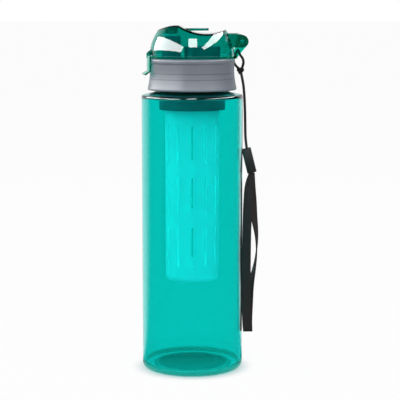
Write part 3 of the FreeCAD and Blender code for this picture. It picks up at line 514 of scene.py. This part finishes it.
def braided_cord(name, base, run, pitch):
    """Dyed cord whose braid follows its UV map: around in u, along in v."""
    finish = new_finish(name)
    around = finish.axis("X", "UV") * (tau * BRAID_STRANDS)
    along = finish.axis("Y", "UV") * (tau * round(run / pitch))
    there, back = (finish.maths("SINE", wave) for wave in (around + along, around - along))
    fine = finish.noise(scale=5200, detail=3.0)
    relief = finish.maths("MAXIMUM", there, back) * 0.4 + fine * 0.5
    # Painted shade and highlight: the tone darkens in the braid's valleys and lightens on its crests, over a
    # random fibre tone.
    tone_and_painted_light = finish.blend(relief, shaded(base, 0.5), shaded(base, 2.2))
    return finish.solid(relief, WEAVE, Base_Color=tone_and_painted_light, Roughness=0.5 + 0.25 * fine,
                        Specular_IOR_Level=FIBRE_GLOSS)


def woven_webbing(name, base, run):
    """Flat webbing whose weave follows its UV map: across in u, along in v."""
    finish = new_finish(name)
    across = finish.axis("X", "UV") * (pi * WARP_RIBS)
    along = finish.axis("Y", "UV") * (pi * run / WEFT_PITCH)
    warp, weft = (finish.maths("ABSOLUTE", finish.maths("SINE", wave)) for wave in (across, along))
    weave = warp * 0.6 + weft * 0.4
    fibre = finish.noise(scale=4000, detail=3.0)
    # Painted shade and highlight: the tone darkens between the weave's ribs and lightens on them, over a
    # random fibre tone.
    tone_and_painted_light = finish.blend(weave * 0.6 + fibre * 0.4, shaded(base, 0.5), shaded(base, 1.7))
    return finish.solid(weave, WEAVE, Base_Color=tone_and_painted_light, Roughness=0.45 + 0.25 * fibre,
                        Specular_IOR_Level=FIBRE_GLOSS)


# Shaping

def metres(point):
    return Vector(point) * MM


def linked(name, data):
    piece = bpy.data.objects.new(name, data)
    bpy.context.scene.collection.objects.link(piece)
    return piece


def as_object(name, bm):
    """Turn a bmesh into an object at the origin, smooth up to the crease angle."""
    mesh = bpy.data.meshes.new(name)
    bm.to_mesh(mesh)
    bm.free()
    mesh.shade_smooth()
    mesh.set_sharp_from_angle(angle=CREASE)
    return linked(name, mesh)


def shaped_mesh(piece):
    """What a scratch object's modifiers make of it."""
    bpy.context.view_layer.update()
    shaped = piece.evaluated_get(bpy.context.evaluated_depsgraph_get())
    bm = bmesh.new()
    bm.from_mesh(shaped.to_mesh())
    shaped.to_mesh_clear()
    return bm


def joined(name, piece, tool):
    """Unite two scratch objects and give the result as one new object."""
    change = piece.modifiers.new("join", "BOOLEAN")
    change.object = tool
    change.operation = "UNION"
    change.solver = "EXACT"
    bm = shaped_mesh(piece)
    for scratch in (piece, tool):
        bpy.data.objects.remove(scratch)
    return as_object(name, bm)


def move(bm, offset):
    bmesh.ops.translate(bm, verts=bm.verts[:], vec=offset)


def face_outwards(bm):
    bmesh.ops.recalc_face_normals(bm, faces=bm.faces[:])


def close_ends(bm):
    """Fill the open ends of a sweep."""
    bmesh.ops.holes_fill(bm, edges=[edge for edge in bm.edges if edge.is_boundary], sides=0)
    face_outwards(bm)


def bevel(bm, edges, width, segments):
    bmesh.ops.bevel(bm, geom=edges, offset=width, affect="EDGES", segments=segments, profile=0.5, material=-1)


def round_edges(bm, radius, least=18):
    """Round every outer edge that is sharper than the least angle in degrees."""
    sharp = [edge for edge in bm.edges
             if edge.is_manifold and edge.is_convex and edge.calc_face_angle() > radians(least)]
    bevel(bm, sharp, radius, segments=3)


def block(width, depth, height):
    bm = bmesh.new()
    bmesh.ops.create_cube(bm, size=1)
    bmesh.ops.scale(bm, verts=bm.verts[:], vec=(width, depth, height))
    return bm


def upright_edges(bm):
    return [edge for edge in bm.edges if abs(edge.verts[0].co.z - edge.verts[1].co.z) > CLOSE]


def prism(centre, radius, tails, near, far, rounding):
    """A teardrop about a pivot's (x, height) with tail corners, from one y to another."""
    bm = bmesh.new()
    for y in (near, far):
        pivot, *corners = (Vector((x * MM, y, z * MM)) for x, z in (centre, *tails))
        place = Matrix.Translation(pivot) @ Matrix.Rotation(pi / 2, 4, "X")
        bmesh.ops.create_circle(bm, segments=ROUND_SIDES, radius=radius, matrix=place)
        for corner in corners:
            bm.verts.new(corner)
    hull = bmesh.ops.convex_hull(bm, input=bm.verts[:])
    inside = [item for item in hull["geom_interior"] if isinstance(item, bmesh.types.BMVert)]
    bmesh.ops.delete(bm, geom=inside, context="VERTS")
    bmesh.ops.dissolve_limit(bm, angle_limit=FLAT, verts=bm.verts[:], edges=bm.edges[:])
    face_outwards(bm)
    round_edges(bm, rounding, least=40)
    return bm


def lathe(outline, steps):
    """Spin corners (radius, height, rounding) about z; the outline closes on itself or on the axis."""
    bm = bmesh.new()
    verts = [bm.verts.new((x, 0, z)) for x, z, *_ in outline]
    bm.faces.new(verts)
    for vert, corner in zip(verts, outline):
        if len(corner) > 2:
            bmesh.ops.bevel(bm, geom=[vert], offset=corner[2], offset_type="OFFSET", affect="VERTICES",
                            segments=CORNER_SEGMENTS, profile=0.5, material=-1)
    bmesh.ops.delete(bm, geom=bm.faces[:], context="FACES_ONLY")
    on_axis = [edge for edge in bm.edges if all(vert.co.x < SAME_POINT for vert in edge.verts)]
    bmesh.ops.delete(bm, geom=on_axis, context="EDGES")
    bmesh.ops.spin(bm, geom=bm.verts[:] + bm.edges[:], cent=(0, 0, 0), axis=(0, 0, 1), angle=tau,
                   steps=steps, use_merge=True)
    bmesh.ops.remove_doubles(bm, verts=bm.verts[:], dist=SAME_POINT)
    face_outwards(bm)
    return bm


def curve_through(points, place):
    """Value of the smooth curve through three (place, value) points in millimetres."""
    (a, at_a), (b, at_b), (c, at_c) = (metres(point) for point in points)
    return (at_a * (place - b) * (place - c) / ((a - b) * (a - c))
            + at_b * (place - a) * (place - c) / ((b - a) * (b - c))
            + at_c * (place - a) * (place - b) / ((c - a) * (c - b)))


def route_line(points, resolution):
    """Points along the smooth line that the control points pull."""
    curve = bpy.data.curves.new("route", "CURVE")
    curve.dimensions = "3D"
    curve.resolution_u = resolution
    spline = curve.splines.new("NURBS")
    spline.points.add(len(points) - 1)
    for spot, point in zip(spline.points, points):
        spot.co = (*point, 1)
    spline.order_u = 3
    spline.use_endpoint_u = True
    holder = linked("route", curve)
    mesh = bpy.data.meshes.new_from_object(holder)
    line = [vert.co.copy() for vert in mesh.vertices]
    bpy.data.objects.remove(holder)
    bpy.data.curves.remove(curve)
    bpy.data.meshes.remove(mesh)
    return line


def line_length(line):
    return sum((after - before).length for before, after in zip(line, line[1:]))


def headings(line):
    """The direction in which a line runs at each of its points."""
    last = len(line) - 1
    return [(line[min(i + 1, last)] - line[max(i - 1, 0)]).normalized() for i in range(len(line))]


def carried_frames(line):
    """Two directions square to each point's heading, carried along without twisting."""
    runs = headings(line)
    side = runs[0].orthogonal().normalized()
    frames = []
    for run in runs:
        side = (side - run * side.dot(run)).normalized()
        frames.append((side, run.cross(side)))
    return frames


def swept_grid(columns, rows):
    """A flat grid with x and y from 0 to 1 and a UV map to match."""
    bm = bmesh.new()
    bm.loops.layers.uv.new("UVMap")
    bmesh.ops.create_grid(bm, x_segments=columns, y_segments=rows, size=0.5, calc_uvs=True)
    move(bm, (0.5, 0.5, 0))
    return bm


def cord_tube(name, line, diameter):
    """A round cord along a line, closed at its ends."""
    frames = carried_frames(line)
    bm = swept_grid(CORD_SIDES, len(line) - 1)
    for vert in bm.verts:
        row = round(vert.co.y * (len(line) - 1))
        turn = vert.co.x * tau
        side, other = frames[row]
        vert.co = line[row] + (side * cos(turn) + other * sin(turn)) * (diameter / 2)
    bmesh.ops.remove_doubles(bm, verts=bm.verts[:], dist=diameter * CORD_MERGE)
    close_ends(bm)
    return as_object(name, bm)


def coat(piece, finish):
    piece.data.materials.clear()
    piece.data.materials.append(finish)


def dress(finish, *nodes):
    """Give CAD nodes their finish."""
    for name in nodes:
        coat(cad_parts[name], finish)


def settle(piece, body, finish, slot, *nodes):
    """Give a piece its finish and its body, and hide the CAD nodes that it stands for."""
    coat(piece, finish)
    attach(piece, body)
    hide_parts(*nodes)
    return piece


class InfuserPiece:
    """What the operators share."""
    bl_options = {"REGISTER", "UNDO"}


class INFUSER_OT_bottle(InfuserPiece, Operator):
    """Spin the clear bottle with its thread and its ringed base"""
    bl_idname = "infuser.bottle"
    bl_label = "Bottle"

    def execute(self, context):
        s = settings().bottle
        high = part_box("bottle_body")[1]
        radius = high.x
        inner = radius - s.wall
        bore = s.neck_radius - s.neck_wall
        neck_base = s.shoulder + s.shoulder_rise
        gate = s.punt_depth - s.ring_depth
        shell = lathe((
            (0, gate),
            (s.gate_radius, gate, s.ring_round),
            (s.gate_radius + s.ring_depth, s.punt_depth, s.ring_round),
            *self.base_rings(s),
            (s.punt_radius, s.punt_depth, s.punt_round),
            (s.punt_radius + s.punt_slope, 0, s.punt_round),
            (radius, 0, s.base_round),
            (radius, s.shoulder, s.shoulder_round),
            (s.neck_radius, neck_base, s.neck_round),
            (s.neck_radius, high.z, s.rim_round),
            (bore, high.z, s.rim_round),
            (bore, neck_base - s.wall, s.inner_round),
            (inner, s.shoulder - s.wall, s.inner_round),
            (inner, s.floor_top, s.base_round - s.wall),
            (0, s.floor_top),
        ), s.steps)
        piece = joined("bottle", as_object("shell", shell), as_object("thread", self.thread(s)))
        finish = clear_plastic("teal_bottle", settings().colours.body_teal, s.wall, rough=(0.02, 0.05),
                               depth_share=BODY_DEPTH_SHARE, zones=bottle_zones)
        settle(piece, "bottle", finish, "teal_clear", "bottle_body")
        return {"FINISHED"}

    def base_rings(self, s):
        """Corners of the fine rings moulded under the base."""
        for ring in range(1, s.ring_count + 1):
            middle = s.gate_radius + (s.punt_radius - s.gate_radius) * ring / (s.ring_count + 1)
            yield (middle - s.ring_depth, s.punt_depth)
            yield (middle, s.punt_depth - s.ring_depth, s.ring_round)
            yield (middle + s.ring_depth, s.punt_depth)

    def thread(self, s):
        """The helix on the neck, closed at both ends."""
        bm = bmesh.new()
        root = s.neck_radius - s.thread_sink
        corners = ((root, -s.thread_root / 2), (s.thread_crest, -s.thread_tip / 2),
                   (s.thread_crest, s.thread_tip / 2), (root, s.thread_root / 2))
        verts = [bm.verts.new((x, 0, s.thread_start + z)) for x, z in corners]
        face = bm.faces.new(verts)
        turns = s.thread_rise / s.thread_pitch
        steps = int(s.steps * turns)
        bmesh.ops.spin(bm, geom=[face] + face.edges[:] + verts, cent=(0, 0, 0), axis=(0, 0, 1),
                       angle=tau * turns, dvec=(0, 0, s.thread_rise / steps), steps=steps)
        close_ends(bm)
        return bm


class INFUSER_OT_infuser(InfuserPiece, Operator):
    """Finish the infuser's head, basket and both seals"""
    bl_idname = "infuser.infuser"
    bl_label = "Infuser"

    def execute(self, context):
        colours = settings().colours
        dress(frosted_plastic("frosted_basket", colours.frosted), "infuser_basket")
        dress(satin_plastic("grey_head", colours.dark_grey, rough=0.4), "infuser_head")
        dress(soft_rubber("seal_rubber", colours.rubber), "infuser_seal", "mouth_seal")
        return {"FINISHED"}


class INFUSER_OT_cap(InfuserPiece, Operator):
    """Finish the grey screw cap, the spout, its plug and the vent"""
    bl_idname = "infuser.cap"
    bl_label = "Cap"

    def execute(self, context):
        colours = settings().colours
        dress(satin_plastic("grey_cap", colours.grey, rough=0.38, shade_lines=CAP_SHADE_LINES), "screw_cap")
        dress(satin_plastic("grey_spout", colours.grey, rough=0.38), "drinking_spout")
        dress(soft_rubber("valve_rubber", colours.rubber), "vent_valve", "spout_plug")
        return {"FINISHED"}


class INFUSER_OT_cover(InfuserPiece, Operator):
    """Shape the clear flip cover with its arm, lugs, thumb tab and boss, and finish its hinge and latch"""
    bl_idname = "infuser.cover"
    bl_label = "Flip cover"

    def execute(self, context):
        s = settings().cover
        cover = self.dome(s)
        half = s.arm_width / 2
        extras = [prism(HINGE, s.arm_radius, HINGE_TAILS, -half, half, s.edge_round)]
        for near, far in ((-s.lug_outer, -s.lug_inner), (s.lug_inner, s.lug_outer)):
            extras.append(prism(LATCH, s.lug_radius, LATCH_TAILS, near, far, s.edge_round / 2))
        extras += [self.tab(s), self.boss(s)]
        for extra in extras:
            cover = joined("cover", cover, as_object("extra", extra))
        colours = settings().colours
        finish = clear_plastic("teal_cover", colours.lid_teal, s.wall, rough=(0.015, 0.035))
        settle(cover, "cover", finish, "teal_clear", "flip_cover")
        hinge_finish = clear_plastic("teal_hinge", colours.hinge_teal, s.wall, rough=(0.02, 0.05))
        dress(hinge_finish, "hinge_ring", "latch_lever")
        dress(turned_steel("steel_pin"), "hinge_pin", "latch_pin")
        return {"FINISHED"}

    def wall_radius(self, z):
        """Radius of the dome's wall at a height."""
        top, top_radius = metres(COVER_WALL[-1])
        return curve_through(COVER_WALL, z) if z < top else top_radius + COVER_WALL_LEAN * (z - top)

    def wall_point(self, turn, z):
        radius = self.wall_radius(z)
        return radius * cos(turn), radius * sin(turn), z

    def roof_height(self, x):
        """Height of the roof, which runs straight across the bottle's width."""
        (left, left_height), _, (crest, _) = (metres(point) for point in COVER_RISE)
        right, right_height = metres(COVER_DIP[-1])
        if x < left:
            return left_height + COVER_END_SLOPE * (x - left)
        if x > right:
            return right_height + COVER_END_SLOPE * (x - right)
        return curve_through(COVER_RISE if x < crest else COVER_DIP, x)

    def edge_height(self, turn):
        """Height where the wall meets the roof in one direction, by halving."""
        low = COVER_WALL[0][0] * MM
        high = COVER_LIMIT * MM
        for _ in range(HALVINGS):
            middle = (low + high) / 2
            below = middle < self.roof_height(self.wall_radius(middle) * cos(turn))
            low, high = (middle, high) if below else (low, middle)
        return low

    def dome(self, s):
        """The wall and the roof as two grids, merged, thickened inwards and rounded at the edges."""
        base = COVER_WALL[0][0] * MM
        bm = swept_grid(s.columns, s.rows)
        for vert in bm.verts:
            turn = vert.co.x * tau
            vert.co = self.wall_point(turn, base + (self.edge_height(turn) - base) * vert.co.y)
        roof = swept_grid(s.columns // 2, s.rows)
        for vert in roof.verts:
            turn = vert.co.x * pi
            x, y, z = self.wall_point(turn, self.edge_height(turn))
            vert.co = (x, y * (1 - 2 * vert.co.y), z)
        roof_mesh = bpy.data.meshes.new("roof")
        roof.to_mesh(roof_mesh)
        roof.free()
        bm.from_mesh(roof_mesh)
        bpy.data.meshes.remove(roof_mesh)
        bmesh.ops.remove_doubles(bm, verts=bm.verts[:], dist=SEAM_MERGE)
        bmesh.ops.dissolve_degenerate(bm, edges=bm.edges[:], dist=CLOSE)
        face_outwards(bm)
        shell = as_object("dome", bm)
        thick = shell.modifiers.new("thickness", "SOLIDIFY")
        thick.thickness = s.wall
        thick.offset = -1
        thick.use_even_offset = True
        bm = shaped_mesh(shell)
        bpy.data.objects.remove(shell)
        round_edges(bm, s.edge_round)
        return as_object("dome", bm)

    def tab(self, s):
        """The thumb tab, a flat tongue with rounded corners."""
        bm = block(s.tab_end - s.tab_start, s.tab_width, s.tab_top - s.tab_low)
        middle = Vector(((s.tab_start + s.tab_end) / 2, 0, (s.tab_low + s.tab_top) / 2))
        move(bm, middle)
        corners = [edge for edge in upright_edges(bm) if edge.verts[0].co.x > middle.x]
        bevel(bm, corners, s.tab_width * s.tab_round, segments=12)
        round_edges(bm, s.edge_round)
        return bm

    def boss(self, s):
        """The round boss under the roof with the plug's socket."""
        bm = lathe((
            (s.socket_radius, s.boss_low),
            (s.boss_radius, s.boss_low, s.edge_round),
            (s.boss_radius, s.boss_top),
            (0, s.boss_top),
            (0, s.boss_low + s.socket_depth),
            (s.socket_radius, s.boss_low + s.socket_depth),
        ), ROUND_SIDES)
        move(bm, (s.boss_x, 0, 0))
        return bm


class INFUSER_OT_cords(InfuserPiece, Operator):
    """Lay the lanyard's knot, sleeve, loop and strands"""
    bl_idname = "infuser.cords"
    bl_label = "Lanyard cords"

    def execute(self, context):
        s = settings().lanyard
        knot = self.tie_knot(s)
        sleeve = self.shape_sleeve(s)
        loop_route = [metres(point) for point in LOOP_POINTS]
        self.lay_cord(s, "loop", "lanyard_loop", loop_route, "knot", knot)
        for side, name in ((-1, "front"), (1, "back")):
            y = KNOT_CENTRE[1] * MM + side * s.strand_offset
            route = [Vector((x * MM, y, z * MM)) for x, z in STRAND_POINTS]
            self.lay_cord(s, name, f"lanyard_strand_{name}", route, "fitting", sleeve)
        return {"FINISHED"}

    def lay_cord(self, s, name, node, route, far_end, holder):
        """One round cord along its route, up to the piece that holds its far end."""
        line = route_line(route, CORD_POINTS)
        cord = self.braid(s, name, node, line)
        line_length(line)

    def braid(self, s, name, node, line):
        """A braided cord along a line, in place of a CAD node."""
        cord = cord_tube(f"lanyard_{name}_cord", line, s.cord)
        finish = braided_cord(f"{name}_braid", settings().colours.black, line_length(line), s.braid_pitch)
        return settle(cord, "lanyard", finish, "black_cord", node)

    def tie_knot(self, s):
        """An overhand knot drawn up tight, as one closed cord."""
        middle = metres(KNOT_CENTRE)
        low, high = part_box("lanyard_knot")
        half = (high - low) / 2 - Vector((1, 1, 1)) * s.cord / 2
        trefoil_reach = 3
        line = []
        for step in range(KNOT_STEPS + 1):
            t = tau * step / KNOT_STEPS
            x = sin(t) + 2 * sin(2 * t)
            y = cos(t) - 2 * cos(2 * t)
            z = -sin(3 * t)
            spot = Vector((x / trefoil_reach * half.x, z * half.y, y / trefoil_reach * half.z))
            line.append(middle + spot)
        return self.braid(s, "knot", "lanyard_knot", line)

    def shape_sleeve(self, s):
        """The moulded sleeve that joins the cord to the strap."""
        bm = block(s.sleeve_width, s.sleeve_depth, s.sleeve_length)
        bevel(bm, upright_edges(bm), s.sleeve_round, segments=5)
        top = s.sleeve_length / 2
        for end in [face for face in bm.faces if abs(face.calc_center_median().z) > top - CLOSE]:
            bmesh.ops.inset_region(bm, faces=[end], thickness=s.sleeve_slope)
            bmesh.ops.translate(bm, verts=end.verts[:], vec=end.normal * -s.sleeve_recess)
        rims = [edge for edge in bm.edges if edge.calc_face_angle(0) > SHARP
                and all(abs(abs(vert.co.z) - top) < CLOSE for vert in edge.verts)]
        bevel(bm, rims, s.sleeve_rim, segments=2)
        move(bm, (0, 0, -top))
        tilt = Matrix.Rotation(-s.sleeve_tilt, 3, "Y")
        bmesh.ops.rotate(bm, verts=bm.verts[:], cent=(0, 0, 0), matrix=tilt)
        move(bm, metres(FERRULE_TOP))
        face_outwards(bm)
        sleeve = as_object("lanyard_sleeve", bm)
        finish = soft_rubber("sleeve_rubber", settings().colours.sleeve)
        return settle(sleeve, "lanyard", finish, "black_sleeve", "lanyard_ferrule")


class INFUSER_OT_strap(InfuserPiece, Operator):
    """Weave the wrist strap"""
    bl_idname = "infuser.strap"
    bl_label = "Wrist strap"

    def execute(self, context):
        s = settings().lanyard
        line, side = self.strap_lines(s)
        bm = swept_grid(STRAP_COLUMNS, len(line) - 1)
        for vert in bm.verts:
            row = round(vert.co.y * (len(line) - 1))
            vert.co = line[row] + (side[row] - line[row]) * (2 * vert.co.x - 1)
        face_outwards(bm)
        strap = as_object("wrist_strap_webbing", bm)
        thick = strap.modifiers.new("thickness", "SOLIDIFY")
        thick.thickness = s.strap_thick
        thick.offset = 0
        run = line_length(line)
        finish = woven_webbing("black_webbing", settings().colours.black, run)
        settle(strap, "lanyard", finish, "black_webbing", "wrist_strap")
        return {"FINISHED"}

    def strap_lines(self, s):
        """The strap's middle line and the line of one of its edges, from sleeve to sleeve."""
        tilt = Matrix.Rotation(-s.sleeve_tilt, 3, "Y")
        first, last = (metres(FERRULE_TOP) + tilt @ Vector((0, spread, -s.sleeve_length))
                       for spread in (-s.strap_spread, s.strap_spread))
        route = [first, *(metres(station[:3]) for station in STRAP_STATIONS), last]
        first_turn, last_turn = STRAP_END_TURNS
        turns = [first_turn, *(station[3] for station in STRAP_STATIONS), last_turn]
        pinched = s.strap_width * s.strap_pinch
        widths = [pinched, *(s.strap_width for _ in STRAP_STATIONS), pinched]
        edge = []
        for spot, heading, turn, width in zip(route, headings(route), map(radians, turns), widths):
            across = Vector((cos(turn), sin(turn), 0))
            across = (across - heading * across.dot(heading)).normalized()
            edge.append(spot + across * width / 2)
        return route_line(route, STRAP_POINTS), route_line(edge, STRAP_POINTS)


class INFUSER_OT_stage(InfuserPiece, Operator):
    """Set up the camera, the floor and the lights"""
    bl_idname = "infuser.stage"
    bl_label = "Stage"

    def execute(self, context):
        s = settings().stage
        scene = context.scene
        scene.view_settings.view_transform = "Standard"
        self.set_camera(scene, s)
        self.set_world(scene, s)
        self.set_floor()
        self.panel("left_panel", azimuth=-79, elevation=22, radiance=12, width=2.3, height=0.45, roll=3)
        self.panel("front_panel", azimuth=2.4, elevation=35.4, radiance=13, width=0.40, height=0.44)
        self.panel("right_panel", azimuth=80, elevation=36, radiance=12, width=2.1, height=0.24, roll=9)
        self.lamp("key", azimuth=-72, elevation=32, radiance=1.4)
        self.lamp("fill", azimuth=58, elevation=18, radiance=1.2)
        self.lamp("top", azimuth=0, elevation=72, radiance=3.0)
        return {"FINISHED"}

    def set_camera(self, scene, s):
        camera = bpy.data.cameras.new("camera")
        camera.sensor_width = 36
        camera.lens = s.lens
        camera.clip_end = 100
        holder = linked("camera", camera)
        holder.location = (s.camera_x, -s.camera_distance, s.camera_height)
        holder.rotation_euler = (pi / 2 - s.camera_pitch, 0, 0)
        scene.camera = holder

    def behind(self, finish, source):
        """0 in the dim room, 1 towards the white backdrop."""
        towards = finish.vectors("NORMALIZE", finish.place(source))
        return finish.fade(finish.vectors("DOT_PRODUCT", towards, BACKDROP, output="Value"), *BACKDROP_EDGE)

    def rays(self, finish):
        """Masks of the rays from the camera, through clear plastic and off gloss."""
        camera, clear, gloss = (finish.ray(f"Is {kind} Ray") for kind in ("Camera", "Transmission", "Glossy"))
        direct = 1 - finish.maths("MINIMUM", finish.ray("Diffuse Depth"), 1)
        return camera, clear * direct, gloss * (1 - clear) * direct

    def set_world(self, scene, s):
        """White to the camera, through clear plastic and in gloss from behind; dimmer to the rest."""
        world = bpy.data.worlds.new("world")
        finish = Finish(world)
        camera, clear, gloss = self.rays(finish)
        white = camera + clear + BACKDROP_GLOSS * gloss * self.behind(finish, "Generated")
        strength = white + s.ambient * (1 - camera - clear - gloss)
        light = finish.node("ShaderNodeBackground", {}, {"Color": grey(1), "Strength": strength})
        finish.node("ShaderNodeOutputWorld", {}, {"Surface": light})
        scene.world = world

    def ring_fade(self, finish, near, far, level):
        """0 within the near radius, the level beyond the far one."""
        return finish.fade(finish.vectors("LENGTH", finish.place(), output="Value"), near, far, 0.0, level)

    def set_floor(self):
        """A pale floor that turns white away from the bottle and keeps its shadow."""
        bm = bmesh.new()
        bmesh.ops.create_grid(bm, x_segments=1, y_segments=1, size=FLOOR_REACH)
        move(bm, (0, 0, FLOOR_LEVEL))
        floor = as_object("floor", bm)
        finish = new_finish("pale_floor")
        camera, clear, gloss = self.rays(finish)
        to_camera = camera * self.ring_fade(finish, *FLOOR_OPEN)
        white = to_camera + (clear + gloss) * self.ring_fade(finish, *FLOOR_UNDER)
        plain = finish.principled(Base_Color=grey(FLOOR_GREY), Roughness=0.7)
        pale = finish.mix(white, plain, finish.glow(1.0))
        dim = gloss * (1 - self.behind(finish, "Object")) * self.ring_fade(finish, *FLOOR_AWAY)
        coat(floor, finish.close(finish.mix(dim, pale, finish.glow(DIM_LEVEL))))

    def panel(self, name, azimuth, elevation, radiance, width, height, roll=0, distance=PANEL_DISTANCE):
        """A soft panel that shows in gloss alone and faces the lid, round from the camera by azimuth."""
        light = bpy.data.lights.new(name, "AREA")
        light.shape = "RECTANGLE"
        light.size = width
        light.size_y = height
        light.energy = LAMP_FACTOR * radiance * width * height
        turn = radians(azimuth)
        rise = radians(elevation)
        towards = Vector((sin(turn) * cos(rise), -cos(turn) * cos(rise), sin(rise)))
        facing = towards.to_track_quat("Z", "Y")
        holder = linked(name, light)
        holder.location = LID_CENTRE + towards * distance
        holder.rotation_mode = "QUATERNION"
        holder.rotation_quaternion = facing @ Matrix.Rotation(radians(roll), 3, "Z").to_quaternion()
        holder.visible_camera = False
        holder.visible_transmission = False
        holder.visible_diffuse = False
        return holder

    def lamp(self, name, azimuth, elevation, radiance):
        """A square panel that lights the part and doesn't show in its gloss."""
        holder = self.panel(name, azimuth, elevation, radiance, LAMP_SIDE, LAMP_SIDE, distance=LAMP_DISTANCE)
        holder.visible_diffuse = True
        holder.visible_glossy = False


class INFUSER_PT_panel(Panel):
    """Lists the steps that build the bottle"""
    bl_label = "Infuser Bottle"
    bl_space_type = "VIEW_3D"
    bl_region_type = "UI"
    bl_category = "Infuser Bottle"

    def draw(self, context):
        for step in STEPS:
            self.layout.operator(step.bl_idname)


GROUPS = (BottleSizes, CoverSizes, LanyardSizes, FinishColours, StageSizes, InfuserBottle)
STEPS = (INFUSER_OT_stage, INFUSER_OT_cords, INFUSER_OT_strap, INFUSER_OT_bottle, INFUSER_OT_infuser,
         INFUSER_OT_cap, INFUSER_OT_cover)
CLASSES = GROUPS + STEPS + (INFUSER_PT_panel,)


def register():
    for part in CLASSES:
        bpy.utils.register_class(part)
    bpy.types.Scene.infuser_bottle = PointerProperty(type=InfuserBottle)


def unregister():
    del bpy.types.Scene.infuser_bottle
    for part in reversed(CLASSES):
        bpy.utils.unregister_class(part)


def main():
    register()
    bpy.ops.infuser.stage()
    bpy.ops.infuser.cords()
    bpy.ops.infuser.strap()
    bpy.ops.infuser.bottle()
    bpy.ops.infuser.infuser()
    bpy.ops.infuser.cap()
    bpy.ops.infuser.cover()


if __name__ == "__main__":
    main()
